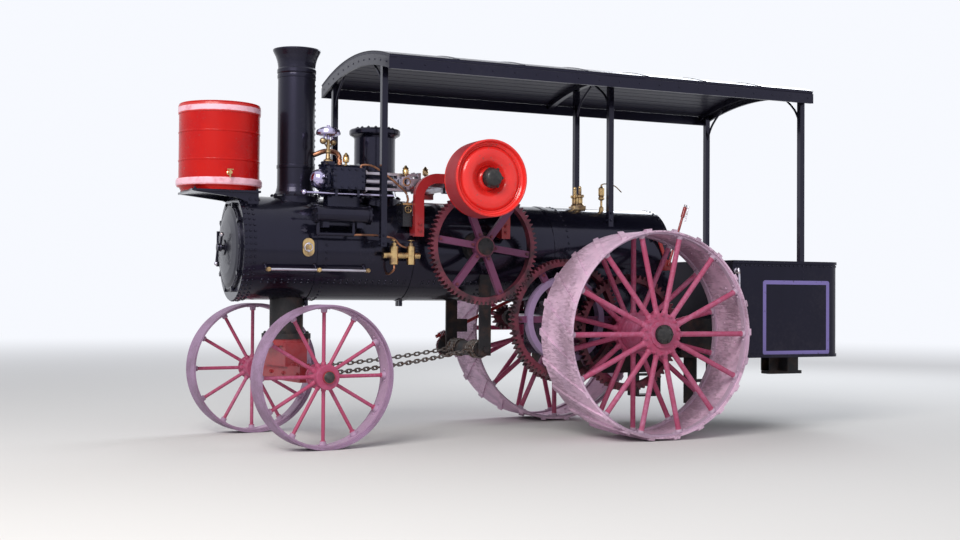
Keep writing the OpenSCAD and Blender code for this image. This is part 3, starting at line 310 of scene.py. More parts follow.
def turned(profile, centre=(0, 0, 0), axis=Z, sides=64, start=0.0):
    """A profile of (radius, way along the axis) in millimetres, turned round the axis through a
    centre in metres."""
    p = np.asarray(profile, float) / 1000
    along, across, up = frames_of(np.array([axis], float))[:, 0]
    a = around(sides, start)
    ring = np.cos(a)[:, None] * across + np.sin(a)[:, None] * up
    points = np.asarray(centre) + p[:, None, 1:] * along + p[:, None, :1] * ring
    return points.reshape(-1, 3), grid_faces(len(p), sides, close_columns=True)


def rod(r, length, *place):
    """A plain round or square bar of radius r from its place."""
    return turned([(0, 0), (r, 0), (r, length), (0, length)], *place)


def bead(r, way, wide, high, steps):
    """Profile of a rolled bead round radius r: an oval of the half sizes wide and high."""
    a = np.linspace(0, 2 * np.pi, steps)
    return np.stack([r + wide * np.cos(a), way + high * np.sin(a)], -1)


def many(base, places, outward):
    """Copies of a base shape, its Z along the outward direction of each place."""
    points, faces = base
    places, outward = np.broadcast_arrays(np.asarray(places, float), outward)
    places, outward = places.reshape(-1, 3), outward.reshape(-1, 3)
    out, across, up = frames_of(outward)
    made = (places[:, None] + points[:, 0, None] * across[:, None]
            + points[:, 1, None] * up[:, None] + points[:, 2, None] * out[:, None])
    copies = np.arange(len(places))[:, None, None] * len(points)
    return made.reshape(-1, 3), (np.asarray(faces)[None] + copies).reshape(-1, faces.shape[-1])


def heads(r, h, places, outward, sides=8):
    """Snap heads of radius r and height h: low domes with a short foot sunk in the plate."""
    return many(turned([(0, -2), (r, -2), (r, 0.25 * h), (0.72 * r, 0.8 * h), (0, h)],
                       sides=sides), places, outward)


def nuts(r, h, places, outward):
    """Hexagon nuts with their corners taken off, and the studs' ends above them."""
    return many(turned([(0, -2), (r, -2), (r, 0.86 * h), (0.86 * r, h), (0.5 * r, h),
                        (0.5 * r, 1.4 * h), (0, 1.45 * h)], sides=6), places, outward)


def ring_of(x, y, z, r, count, axis="x", start=0.0):
    """Places round a circle of radius r mm and their outward directions; the axis is X, Y or Z."""
    a = around(count, start)
    c, s, o = r * np.cos(a), r * np.sin(a), np.zeros(count)
    off = {"x": (o, c, s), "y": (c, o, s), "z": (c, s, o)}[axis]
    return at(x + off[0], y + off[1], z + off[2]), np.stack(off, -1) / r


black_enamel = enamel("black_enamel", (0.005, 0.005, 0.010))
BOILER_R, BOILER_Z, BOILER_REAR, SMOKEBOX_FRONT = 400, 1490, 470.3, 3170
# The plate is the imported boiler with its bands, but open at the smokebox's mouth
BAND_R, BAND_W, RING_R, RING_REAR = 406, 45, 408, 3110
MOUTH_R, MOUTH_REAR, LINING_R, TUBE_PLATE_X = 322, 3158, 392, 2560
outline = [(0, BOILER_REAR), (BOILER_R, BOILER_REAR)]
for x in (530, 1770, TUBE_PLATE_X):
    outline += [(BOILER_R, x), (BAND_R, x), (BAND_R, x + BAND_W), (BOILER_R, x + BAND_W)]
outline += [(BOILER_R, RING_REAR), (RING_R, RING_REAR), (RING_R, SMOKEBOX_FRONT),
            (MOUTH_R, SMOKEBOX_FRONT), (MOUTH_R, MOUTH_REAR), (LINING_R, MOUTH_REAR),
            (LINING_R, TUBE_PLATE_X), (0, TUBE_PLATE_X)]
plate = piece("boiler_plate", turned(outline, at(0, 0, BOILER_Z), X, 144), black_enamel)
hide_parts("boiler")
rows = [ring_of(x, 0, BOILER_Z, r, n, start=0.05) for x, r, n in (
    (3122, RING_R, 52), (3156, RING_R, 52), (3084, BOILER_R, 52), (2532, BOILER_R, 48),
    (1180, BOILER_R, 40), (1212, BOILER_R, 40))]
seam_x = np.arange(620, 3060, 52)
seam_x = seam_x[(np.abs(seam_x - 1792) > 40) & (np.abs(seam_x - 2582) > 45)]
for angle in np.radians((-38, -42, 218, 222)):
    out = np.array([0, math.cos(angle), math.sin(angle)])
    rows.append((at(seam_x, BOILER_R * out[1], BOILER_Z + BOILER_R * out[2]), out))
piece("boiler_rivets", [heads(11, 8, *row) for row in rows], black_enamel)
# Clamps that draw each band tight, below the barrel
lugs = []
for x in (552, 1792, 2582):
    for s in (-1, 1):
        lugs += [nuts(14, 14, at(x, s * 36, BOILER_Z - 426), s * Y),
                 rod(20, 45, at(x, s * 26, BOILER_Z - 446), Z, 4, np.pi / 4)]
    lugs.append(rod(8, 70, at(x, -35, BOILER_Z - 426), Y, 12))
piece("band_clamps", lugs, black_enamel, smooth=30)

# Firebox: flanged plates riveted together, with rows of stay bolts that hold the water wall's two
# plates apart, brass washout plugs in the corners, and an ash pan of thin plate below.
soot_iron = Finish("soot_iron", Metallic=0.0)
soot = soot_iron.noise(9, 6)
soot_iron.wear(Base_Color=soot.step(0.42, 0.7).mix((0.012, 0.011, 0.014), (0.060, 0.034, 0.026)),
               Roughness=0.55 + soot * 0.35, bump=(soot_iron.noise(60, 5), 0.35, 0.004))
dress(black_enamel, "firebox")
dress(soot_iron, "ash_pan", "fire_door")
FIREBOX_REAR, FIREBOX_FRONT, FIREBOX_SIDE, FIREBOX_SEAM = -550, 470, 380, 356
STAY_STEP, LOWEST_STAY, HOLE_TOP_Z, RIVET_STEP = 92, 690, 1130, 46
side_x, side_z = np.meshgrid(np.arange(-495, 430, STAY_STEP), np.arange(LOWEST_STAY, 1350, STAY_STEP))
shapes = [heads(13, 9, at(side_x, s * FIREBOX_SIDE, side_z), s * Y) for s in (-1, 1)]
back_y, back_z = np.meshgrid(np.arange(-276, 277, STAY_STEP), np.arange(LOWEST_STAY, 1700, STAY_STEP))
clear = (np.abs(back_y) > 190) | (back_z < HOLE_TOP_Z)
shapes.append(heads(13, 9, at(FIREBOX_REAR, back_y[clear], back_z[clear]), -X))
piece("stay_bolts", shapes, black_enamel)
edge_z = np.arange(670, 1480, RIVET_STEP)
arc = np.radians(np.arange(4, 177, 8))
arch = np.stack([0 * arc, np.cos(arc), np.sin(arc)], -1)
rows = [(at(FIREBOX_REAR, s * FIREBOX_SEAM, edge_z), -X) for s in (-1, 1)]
rows += [(at(FIREBOX_FRONT, s * FIREBOX_SEAM, edge_z[:9]), X) for s in (-1, 1)]
rows += [(at(x, s * FIREBOX_SIDE, edge_z[:14]), s * Y)
         for s in (-1, 1) for x in (FIREBOX_REAR + 24, FIREBOX_FRONT - 24)]
rows += [(at(x, r * arch[:, 1], BOILER_Z + r * arch[:, 2]), out) for x, r, out in (
    (FIREBOX_REAR, 376, -X), (FIREBOX_REAR + 26, BOILER_R, arch),
    (FIREBOX_FRONT - 30, BOILER_R, arch))]
piece("firebox_rivets", [heads(11, 8, *row) for row in rows], black_enamel)
# Brass for plugs, cups and gauges: turned, handled bright, brown in its corners
BRASS_TONES = (0.62, 0.43, 0.20), (0.20, 0.13, 0.085)
brass = Finish("brass", "brass", Metallic=1.0)
tarnish = brass.noise(14, 6)
brass.wear(Base_Color=tarnish.step(0.38, 0.68).mix(*BRASS_TONES),
           Roughness=0.24 + tarnish.step(0.4, 0.8) * 0.3, bump=(brass.noise(120, 2), 0.12, 0.001))
plug = turned([(0, -2), (30, -2), (30, 10), (22, 14), (14, 14), (14, 36), (11, 39), (0, 39)], sides=4)
piece("washout_plugs", [many(plug, at(FIREBOX_REAR, (-300, 300), 712), -X)] + [
    many(plug, at((-430, 330), s * FIREBOX_SIDE, 712), s * Y) for s in (1, -1)], brass, smooth=30)

# Smokebox door and chimney: a dished plate door drawn shut by its screw and dogs, and a riveted
# pipe on a flanged foot with a cast cap, both blackened and dull where the smoke runs.
smoke_black = enamel("smoke_black", (0.006, 0.006, 0.010), (0.055, 0.050, 0.055), 0.28, 0.4, 0.20)
dress(smoke_black, "smokebox_door", "chimney")
DOOR_X = SMOKEBOX_FRONT + 0.5
shapes = [turned(bead(316, 16, 10, 8, 13), at(DOOR_X, 0, BOILER_Z), X, 72),
          heads(8, 6, ring_of(DOOR_X + 14, 0, BOILER_Z, 328, 40)[0], X)]
for off, h in ((78, 16), (98, 14)):
    shapes.append(turned([(0, 0), (30, 0), (34, 4), (30, h), (0, h)],
                         at(DOOR_X + off, 0, BOILER_Z), X, 32))
piece("door_bead", shapes, smoke_black, "smokebox_door")
# Inside the smokebox all is soot: a lining, the tube plate with its tube ends, and the door's baffle
soot = Finish("soot", "dark_iron", Specular_IOR_Level=0.1)
ash = soot.noise(9, 6)
soot.wear(Base_Color=ash.step(0.45, 0.8).mix((0.010, 0.009, 0.009), (0.040, 0.036, 0.034)),
          Roughness=0.88 + ash * 0.1, bump=(ash, 0.3, 0.003))
outer, inner, front, rear = LINING_R - 0.5, LINING_R - 4, MOUTH_REAR - 0.5, TUBE_PLATE_X + 0.5
lining = [(outer, front), (outer, rear), (0, rear), (0, TUBE_PLATE_X + 4),
          (inner, TUBE_PLATE_X + 4), (inner, front), (outer, front)]
piece("smokebox_lining", turned(lining, at(0, 0, BOILER_Z), X, 96), soot)
tube_y, tube_z = np.meshgrid(np.arange(-4, 5) * 74.0, np.arange(-4, 3) * 66.0)
tube_y[::2] += 74 / 2
near = np.hypot(tube_y, tube_z) < 330
tube_end = turned([(21, -2), (26.5, -2), (26.5, 10), (22.5, 12), (21, 10), (21, -2)], sides=20)
piece("flue_tubes", many(tube_end, at(TUBE_PLATE_X + 4, tube_y[near], BOILER_Z + tube_z[near]), X),
      soot)
piece("door_baffle", [
    turned([(0, -20), (292, -20), (300, -14), (300, 0.4), (0, 0.4)], at(DOOR_X, 0, BOILER_Z), X, 72),
    nuts(14, 12, ring_of(DOOR_X - 20, 0, BOILER_Z, 210, 6)[0], -X)], soot, "smokebox_door")
bright_steel = Finish("bright_steel", "bright_steel", Metallic=1.0)
rubbed = bright_steel.noise(7, 5, (1, 1, 5))
bright_steel.wear(Base_Color=rubbed.step(0.45, 0.8).mix((0.56, 0.54, 0.62), (0.24, 0.18, 0.15)),
                  Roughness=0.24 + rubbed * 0.22, bump=(bright_steel.noise(90, 3, (1, 6, 6)), 0.15, 0.001))
ball = [(17 * math.sin(a), -17 * math.cos(a)) for a in np.linspace(0, np.pi, 9)]
piece("door_handle_knobs", [turned(ball, at(DOOR_X + x, y, BOILER_Z + z), Z, 20)
                            for x, y, z in ((92, 80, 96), (110, -20, -124))],
      bright_steel, "smokebox_door")
CHIMNEY_X, CHIMNEY_R, DOME_X, DOME_R = 2665, 145, 2010, 165
BOILER_TOP = BOILER_Z + BOILER_R
shapes = [nuts(15, 13, ring_of(CHIMNEY_X, 0, BOILER_TOP + 8, CHIMNEY_R + 36, 12, "z", 0.26)[0], Z)]
for y in (-16, 16):
    out = np.array([-math.sqrt(CHIMNEY_R ** 2 - y * y), y, 0.0])
    shapes.append(heads(11, 8, at(CHIMNEY_X + out[0], out[1], np.arange(2010, 2900, 48)), out))
for z in (2130, 2840):
    shapes.append(turned([(144.8, -16), (149, -14), (150.5, 0), (149, 14), (144.8, 16)],
                         at(CHIMNEY_X, 0, z), Z, 72))
piece("chimney_fastenings", shapes, smoke_black, smooth=35)

# Steam dome: a riveted drum under a flat dished cap, polished enamel like the barrel, bolted down
# through its foot. A ring of studs holds the cap.
dress(black_enamel, "dome")
piece("dome_nuts", [
    nuts(15, 13, ring_of(DOME_X, 0, BOILER_TOP + 12, DOME_R + 34, 14, "z", 0.2)[0], Z),
    nuts(13, 12, ring_of(DOME_X, 0, 2461, 150, 16, "z", 0.1)[0], Z)], black_enamel)

# Safety valves, whistle and cylinder: the valves and whistle are turned brass; the cylinder is a
# casting lagged in blued sheet under bands, its covers and chest held by studs.
dress(brass, "safety_valve")
blued_sheet = enamel("blued_sheet", (0.007, 0.008, 0.018), shine=0.14, coat=0.3)
dress(blued_sheet, "cylinder")
CYL_FRONT, CYL_Y, CYL_Z = 2540, 292, 2020
shapes = [nuts(12, 12, ring_of(CYL_FRONT - 4, CYL_Y, CYL_Z, 127, 12)[0], X),
          nuts(10, 10, ring_of(CYL_FRONT + 14, CYL_Y, CYL_Z, 86, 8)[0], X)]
for x in (2310, 2380, 2450):
    shapes.append(turned([(119.5, -14), (122.5, -13), (122.5, 13), (119.5, 14)],
                         at(x, CYL_Y, CYL_Z), X, 72))
chest = np.array([(x, z) for x in np.linspace(2270, 2496, 5) for z in (1952, 2088)]
                 + [(x, z) for x in (2270, 2496) for z in (1998, 2042)])
shapes.append(nuts(11, 11, at(chest[:, 0], 476, chest[:, 1]), Y))
piece("cylinder_studs", shapes, blued_sheet)


def tube(path, radius, sides=12, closed=False):
    """A round bar, its radius in millimetres, whose middle follows a path of points in metres;
    closed ends or a closed loop."""
    path = np.asarray(path, float)
    r = np.broadcast_to(np.asarray(radius, float) / 1000, len(path))
    if closed:
        way = np.roll(path, -1, 0) - np.roll(path, 1, 0)
    else:
        way = np.gradient(path, axis=0)
        path = np.concatenate([path[:1], path, path[-1:]])
        way = np.concatenate([way[:1], way, way[-1:]])
        r = np.concatenate([[0], r, [0]])
    _, across, up = frames_of(way)
    a = around(sides)
    ring = np.cos(a)[None, :, None] * across[:, None] + np.sin(a)[None, :, None] * up[:, None]
    points = path[:, None] + r[:, None, None] * ring
    return points.reshape(-1, 3), grid_faces(len(path), sides, closed, True)


def bend(points, steps=8):
    """A smooth path through a few points: Catmull-Rom spans, each in even steps."""
    p = np.asarray(points, float)
    p = np.concatenate([2 * p[:1] - p[1:2], p, 2 * p[-1:] - p[-2:-1]])
    u = (np.arange(steps) / steps)[None, :, None]
    a, b, c, d = (p[i:len(p) - 3 + i, None] for i in range(4))
    curve = 0.5 * (2 * b + (c - a) * u + (2 * a - 5 * b + 4 * c - d) * u ** 2
                   + (3 * b - a - 3 * c + d) * u ** 3)
    return np.concatenate([curve.reshape(-1, 3), p[-2:-1]])


# Springs and caps of the safety valves, the whistle's chain pull, and copper pipes
coil = np.linspace(0, 12 * np.pi, 145)
shapes = []
for y in (-46, 46):
    shapes.append(tube(at(150 + 20 * np.cos(coil), y + 20 * np.sin(coil), 1938 + coil * 1.15), 2.8, 6))
    shapes.append(turned([(0, 0), (12, 2), (15, 10), (9, 22), (0, 24)], at(150, y, 2060), Z, 20))
shapes.append(tube(bend(at((-20, -60, -150, -220), 120, (2096, 2106, 2092, 2040))), 5, 8))
piece("valve_springs", shapes, brass, smooth=50)
copper = Finish("copper", Metallic=1.0)
aged = copper.noise(16, 5)
copper.wear(Base_Color=aged.step(0.42, 0.72).mix((0.46, 0.21, 0.12), (0.13, 0.075, 0.06)),
            Roughness=0.26 + aged * 0.25, bump=(copper.noise(60, 3), 0.1, 0.001))
piece("copper_pipes", [tube(bend(at(*run)), r, 12) for r, *run in (
    (9, (1918, 1970, 2040, 2200, 2356), (484, 484, 486, 488, 488), (1500, 1520, 1574, 1590, 1590)),
    (9, (2020, 2020, 2030, 2030), (484, 484, 420, 348), (1370, 1330, 1300, 1300)),
    (9, (1893, 1893, 1942, 2160, 2266, 2280), (425, 440, 450, 450, 440, 440),
     (1848, 1890, 1960, 2112, 2128, 2092)),
    (20, (2400, 2400, 2462, 2530, 2585), (292, 240, 130, 76, 60), (2130, 2226, 2256, 2232, 2210)))],
    copper, smooth=50)
oiler = turned([(0, 0), (10, 0), (10, 16), (24, 22), (26, 56), (20, 64), (26, 68), (14, 82), (6, 94),
                (0, 95)], sides=24)
piece("cylinder_oilers", many(oiler, at(2350, CYL_Y, CYL_Z + 119), Z), brass)

# Governor: a turned column with two flyballs on arms, oily and brown, under a wide polished cap coloured
# lavender, a painted reflection of the sky
# Polished steel coloured lavender: a painted reflection of blue sky
PAINTED_SKY_ON_STEEL = (0.50, 0.46, 0.66)
polished = Finish("polished_governor", Metallic=1.0)
# Above the cap's height the colour is the painted sky reflection
film, cap = polished.noise(14, 6), polished.z.step(2.325, 2.333)
oily = film.step(0.4, 0.7).mix((0.42, 0.30, 0.16), (0.13, 0.09, 0.07))
polished.wear(Base_Color=cap.mix(oily, PAINTED_SKY_ON_STEEL), Roughness=0.34 + film * 0.2 - cap * 0.22,
              bump=(polished.noise(120, 2), 0.12, 0.001))
dress(polished, "governor")

# Crosshead, guides and connecting rod: forged steel, wiped bright with oil, dark in the corners,
# with brass bushes, a gib and cotter at each end and an oil cup over each pin.
dress(bright_steel, "guide_bars", "crosshead", "connecting_rod")
ROD_BIG, ROD_SMALL, ROD_Y, CRANK_X, CRANK_Z = 1315, 1885, 372, 1440, 2020


def pair(middle, off):
    """Two values, off to either side of a middle."""
    return np.array((middle - off, middle + off))


piece("rod_bushes", [
    turned([(bore, -27.5), (r, -27.5), (r, 27.5), (bore, 27.5)], at(x, ROD_Y, CRANK_Z), Y, 48)
    for x, bore, r in ((ROD_BIG, 34.2, 46), (ROD_SMALL, 24.2, 34))] + [
    many(oiler, at((ROD_BIG, ROD_SMALL), ROD_Y, (2072, 2056)), Z)], brass, "connecting_rod")
shapes = []
for x, h in ((ROD_BIG + 46, 62), (ROD_SMALL - 20, 46)):
    shapes.append(turned([(0, -h - 12), (14, -h - 12), (17, h + 14), (0, h + 14)],
                         at(x, ROD_Y, CRANK_Z), Z, 4, np.pi / 4))
    shapes.append(nuts(9, 8, at(x - 16, ROD_Y + 24, pair(CRANK_Z, 26)), Y))
piece("rod_cotters", shapes, bright_steel, "connecting_rod")
piece("guide_bolts", [nuts(11, 10, at(x, pair(CYL_Y, 20), CYL_Z + s * 70), s * Z)
                      for s in (1, -1) for x in (1792, 2190)], bright_steel)
piece("crosshead_fittings", [nuts(12, 11, at((1850, 1920), 326, CYL_Z + z), Y) for z in (28, -28)] + [
    turned([(20.2, 0), (34, 0), (34, 16), (26, 24), (20.2, 24)], at(1941, CYL_Y, CYL_Z), X, 6)],
    bright_steel, "crosshead")


# Crankshaft, disc pulley and pedestals: a built crank in two arched cast pedestals; the pulley is a cast
# disc in the barrel's signal red, painted brighter as painted light, its face worn dull where the belt
# ran, with a black hub.
def signal(name, light, deep, coat):
    """Hard bright red paint, blotched between a light and a deep tone, its small chips dull."""
    f = Finish(name, "red_paint", Coat_Weight=coat, Coat_Roughness=0.14, Specular_IOR_Level=0.16)
    blotch = f.noise(3.2, 6)
    chips = (f.noise(46, 5) * 0.75 + blotch * 0.25).step(0.60, 0.66)
    return f.wear(
        Base_Color=(chips * 0.75).mix(blotch.step(0.35, 0.7).mix(light, deep), (0.24, 0.07, 0.06)),
        Roughness=0.22 + chips * 0.3 + blotch * 0.10,
        bump=(blotch * 0.4 - chips * 0.6, 0.18, 0.002))


signal_red = signal("signal_red", (0.50, 0.007, 0.004), (0.41, 0.004, 0.006), 0.10)
# The pulley's red is the barrel's signal red made brighter: painted light for the full light on its face
pulley_red_painted_light = signal("pulley_red_painted_light", (0.84, 0.032, 0.026), (0.72, 0.020, 0.018), 0.70)
red_paint = enamel("red_paint", (0.33, 0.020, 0.024), (0.24, 0.085, 0.11), 0.28, 0.5, 0.25,
                   CLEAR_GLINT, "red_paint")
worn_face = Finish("worn_face", "worn_steel", Metallic=0.0, Specular_IOR_Level=0.25)
turning = worn_face.noise(30, 4, (0.3, 8, 0.3))
worn_face.wear(Base_Color=turning.step(0.35, 0.75).mix((0.37, 0.026, 0.036), (0.31, 0.065, 0.075)),
               Roughness=0.28 + turning * 0.3, bump=(turning, 0.12, 0.001))
hub_black = enamel("hub_black", (0.016, 0.015, 0.017), (0.16, 0.145, 0.13), 0.35, 0.6, 0.2,
                   CLEAR_GLINT, "dark_iron")
dress(bright_steel, "crankshaft", "crank_webs")
dress(pulley_red_painted_light, "belt_pulley")
dress(red_paint, "pedestal_left", "pedestal_right")
PULLEY_Y, BEARINGS_Y = 1022, (467, -315)
u = np.linspace(-1, 1, 17)
crowned = np.stack([293.5 + 1.8 * (1 - u ** 2), u * 98], -1)
piece("pulley_face", turned([(292.5, -98), *crowned, (292.5, 98)],
                            at(CRANK_X, PULLEY_Y - 115, CRANK_Z), Y, 120), worn_face, "crankshaft")
piece("pulley_hub", [
    turned([(38.2, -12), (76, -12), (80, 4), (74, 22), (62, 50), (50, 60), (0, 64)],
           at(CRANK_X, PULLEY_Y - 4, CRANK_Z), Y, 48),
    nuts(13, 12, ring_of(CRANK_X, PULLEY_Y + 18, CRANK_Z, 72, 6, "y")[0], Y)],
    hub_black, "crankshaft")
piece("pulley_beads", [turned(bead(r, 0, 5, 4, 11), at(CRANK_X, PULLEY_Y + y, CRANK_Z), Y, 96)
                       for r, y in ((284, 1), (252, -34), (100, -82))],
      pulley_red_painted_light, "crankshaft", smooth=60)
piece("crank_keys", [
    rod(11, 50, at(CRANK_X + 38, 846, CRANK_Z), Y, 4, np.pi / 4),
    heads(14, 4, at(CRANK_X + 78, 436, pair(CRANK_Z, 44)), Y),
    nuts(14, 12, at(CRANK_X + 78, 308, pair(CRANK_Z, 44)), -Y)], bright_steel, "crankshaft")
piece("bearing_nuts", [nuts(12, 14, at(x, pair(y, 13), CRANK_Z + 66), Z)
                       for y in BEARINGS_Y for x in pair(CRANK_X, 84)], red_paint, smooth=30)
piece("bearing_oilers", many(oiler, at(CRANK_X, BEARINGS_Y, CRANK_Z + 106), Z), brass)
piece("pedestal_bolts", [nuts(14, 14, at((1068, 1812), y, z), np.sign(y) * Y) for y, z in (
    (492, 1640), (492, 1690), (-350, 1730), (-350, 1780))], red_paint)
# Dished web of the pulley: it swells out from the hub and rounds over a hand's breadth inside the rim
dish = [(94, -84), (100, -60), (112, -41), (132, -26), (158, -16), (186, -12), (206, -14),
        (222, -20), (234, -29), (242, -38), (247, -47), (232, -58), (150, -74)]
piece("pulley_dish", turned(dish, at(CRANK_X, PULLEY_Y, CRANK_Z), Y, 120), pulley_red_painted_light, "crankshaft")


# Gear train: cast wheels with machined teeth, the arms once painted a rose red that has gone chalky, here
# darkened to a deep maroon as painted shade of the canopy and the pulley, the rims dark with grease, and
# each arm bolted to its rim.
def chalky(name, colour, dust, pale, past):
    """Matt chalked paint that is worn to a pale ring where past, given the finish, is above 0."""
    f = Finish(name, "faded_red", Specular_IOR_Level=0.35)
    cloud, fine = f.noise(2.3, 6), f.noise(38, 4)
    film = (cloud * 0.6 + fine * 0.4).step(0.42, 0.80) * 0.75
    ring = (past(f) + fine * 0.010).step(0.003, 0.010)
    worn = film.mix(pale, tuple(0.6 * c for c in pale))
    return f.wear(Base_Color=ring.mix(film.mix(colour, dust), worn),
                  Roughness=0.42 + film * 0.25 + fine * 0.08,
                  bump=(f.noise(26, 2) * 0.6 + fine * 0.25, 0.16, 0.004))


def ringed(x, z, low, high):
    """How deep a point of a finish lies between two radii round an axle along Y, in metres."""
    middle_x, _, middle_z = at(x, 0, z)

    def depth(f):
        r = f.reach(x=middle_x, z=middle_z)
        return (r - low / 1000).min(high / 1000 - r)
    return depth


def axle_of(box):
    """X from the rear axle and Z of a box's middle, in millimetres."""
    middle = np.mean(box, 0)
    return (middle[0] - REAR_AXLE_X) * 1000, middle[2] * 1000


gear_iron = Finish("gear_iron", "gear_iron", Metallic=0.35)
grease, grit = gear_iron.noise(8, 6), gear_iron.noise(70, 4)
gear_iron.wear(Base_Color=grease.step(0.4, 0.68).mix((0.17, 0.034, 0.055), (0.038, 0.020, 0.026)),
               Roughness=0.34 + grit * 0.3, bump=(grit + grease * 0.5, 0.25, 0.002))
dress(gear_iron, "idler_rim", "diff_rim", "crank_pinion", "pinion_left", "pinion_right",
      "bull_gear_left", "bull_gear_right")
dark_iron = Finish("dark_iron", "dark_iron", Metallic=0.25)
crust, flake = dark_iron.noise(10, 6), dark_iron.noise(85, 4)
dark_iron.wear(Base_Color=crust.step(0.45, 0.72).mix((0.014, 0.013, 0.016), (0.055, 0.030, 0.024)),
               Roughness=0.5 + flake * 0.3, bump=(flake + crust * 0.4, 0.3, 0.002))
dress(dark_iron, "idler_bracket", "axle_brackets", "shaft_bearings")
dress(bright_steel, "countershaft")
idler = axle_of(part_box("idler_rim"))
diff = axle_of(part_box("diff_rim"))
# The arms' rose red, darkened: painted shade of the canopy and the pulley
gear_paint_painted_shade = chalky("gear_paint_painted_shade", (0.13, 0.034, 0.085), (0.17, 0.075, 0.16), (0.30, 0.21, 0.36),
                    ringed(*diff, 298, 354))
dress(gear_paint_painted_shade, "idler_wheel", "diff_wheel")
GEAR_FACE_Y, PIN_CAP_Y = 556, 594
for name, (x, z), body, rim_r, hub_r, turn in (
        ("idler_bolts", idler, "idler_gear", 402, 84, 8),
        ("diff_bolts", diff, "diff_gear", 432, 120, 0)):
    # Bolts through each arm's foot and round the hub, and the hub's cap ring
    shapes = [nuts(13, 12, ring_of(x, GEAR_FACE_Y, z, r, 6, "y", math.radians(turn))[0], Y)
              for r in (rim_r - 24, hub_r + 16)]
    shapes.append(turned([(hub_r - 24, 0), (hub_r - 4, 2), (hub_r - 6, 10), (hub_r - 24, 12)],
                         at(x, GEAR_FACE_Y + 16, z), Y, 48))
    piece(name, shapes, gear_iron, body)
piece("idler_pin_cap", [
    turned([(0, 12), (30, 10), (52, 2), (58, 0), (0, 0)], at(idler[0], PIN_CAP_Y, idler[1]), Y, 40),
    nuts(9, 8, ring_of(idler[0], PIN_CAP_Y, idler[1], 54, 4, "y", 0.4)[0], Y)], dark_iron)

# Rear wheels: rolled steel rims with riveted diagonal cleats, two rows of round spokes headed over
# in angle rings, and cast hubs; the tread is bare and scraped pale, the rest a chalky rose red.
AXLE_Z, REAR_Y, REAR_W, RIM_R, REAR_HUB_R, SPOKES, CLEATS = 838, 642, 508, 822, 168, 14, 22
CLEAT_SLANT = 0.532
rose, rose_dust = (0.42, 0.066, 0.145), (0.60, 0.27, 0.44)
faded_red = chalky("faded_red", rose, rose_dust, (0.52, 0.38, 0.50), ringed(0, AXLE_Z, 772, 2000))
bare_tread = Finish("bare_tread", "worn_steel", Specular_IOR_Level=0.35)
clouds, scores = bare_tread.noise(5, 6), bare_tread.noise(55, 4, (1, 0.25, 1))
mud = (bare_tread.noise(2.2, 5) * 0.7 + scores * 0.3).step(0.46, 0.62)
scraped = clouds.step(0.35, 0.7).mix((0.80, 0.55, 0.72), (0.58, 0.40, 0.54))
bare_tread.wear(Base_Color=(mud * 0.8).mix(scraped, (0.33, 0.22, 0.29)),
                Roughness=0.55 + scores * 0.3, bump=(scores * 0.4 + mud * 1.6, 0.6, 0.010))
dress(faded_red, "rear_wheel_left", "rear_wheel_right")
dress(bare_tread, "rear_rim_left", "rear_rim_right")


def wheel_round(r, angle, y, centre_x, centre_z, side):
    """Places at radius r mm and an angle from the top, and the directions out from the axle."""
    angle, y = np.broadcast_arrays(np.asarray(angle, float), y)
    out = np.stack([np.sin(angle), 0 * angle, np.cos(angle)], -1)
    return at(centre_x + r * out[..., 0], side * y, centre_z + r * out[..., 2]), out


def spoke_row(angle, y, axle, foot_r, rivet_r, spread, rivet, hub_r, collar):
    """One row of spokes' ends: feet inside the rim, a rivet on either side of each, and collars of
    the profile collar on the hub."""
    foot = turned([(0, -2), (30, -2), (30, 6), (24, 12), (22.5, 30), (20.5, 34), (0, 34)], sides=16)
    spot, out = wheel_round(foot_r, angle, y, *axle)
    shapes = [many(foot, spot, -out)]
    for off in (-spread, spread):
        spot, out = wheel_round(rivet_r, angle + off, y, *axle)
        shapes.append(heads(*rivet, spot, -out))
    shapes.append(many(turned(collar, sides=16), *wheel_round(hub_r, angle, y, *axle)))
    return shapes


SIDES = ((1, "left"), (-1, "right"))
for side, word in SIDES:
    body, axle = "rear_wheel_" + word, (0, AXLE_Z, side)
    a = around(SPOKES)
    shapes = []
    for y, shift in ((REAR_Y + 48, 0.0), (REAR_Y + REAR_W - 48, np.pi / SPOKES)):
        shapes += spoke_row(a + shift, y, axle, RIM_R - 28.5, RIM_R - 28.5, 0.062, (12, 9),
                            REAR_HUB_R, [(0, -3), (27, -3), (25, 22), (21.5, 26), (0, 26)])
    shapes.append(nuts(13, 12, wheel_round(154, a, REAR_Y + REAR_W - 22, *axle)[0], side * Y))
    for y in (REAR_Y + 120, REAR_Y + REAR_W - 130):
        shapes.append(turned([(141.5, -12), (145.5, -8), (146.5, 0), (145.5, 8), (141.5, 12)],
                             at(0, side * y, AXLE_Z), side * Y, 64))
    piece("rear_spoke_feet_" + word, shapes, faded_red, body)
    y = np.array([-190, -70, 70, 190])
    spot, out = wheel_round(RIM_R - 14, around(CLEATS)[:, None] + y * CLEAT_SLANT / RIM_R,
                            REAR_Y + REAR_W / 2 + y, *axle)
    piece("cleat_rivets_" + word, heads(11, 8, spot, -out), bare_tread, body)
    # Axle's end: a domed cap and the nuts round it
    cap_y = side * (REAR_Y + REAR_W + 20)
    piece("axle_cap_" + word, [
        turned([(0, 12), (30, 11), (52, 6), (64, 0), (64, -4), (0, -4)], at(0, cap_y, AXLE_Z),
               side * Y, 56),
        nuts(11, 9, ring_of(0, cap_y - side, AXLE_Z, 66, 6, "y")[0], side * Y)], hub_black)

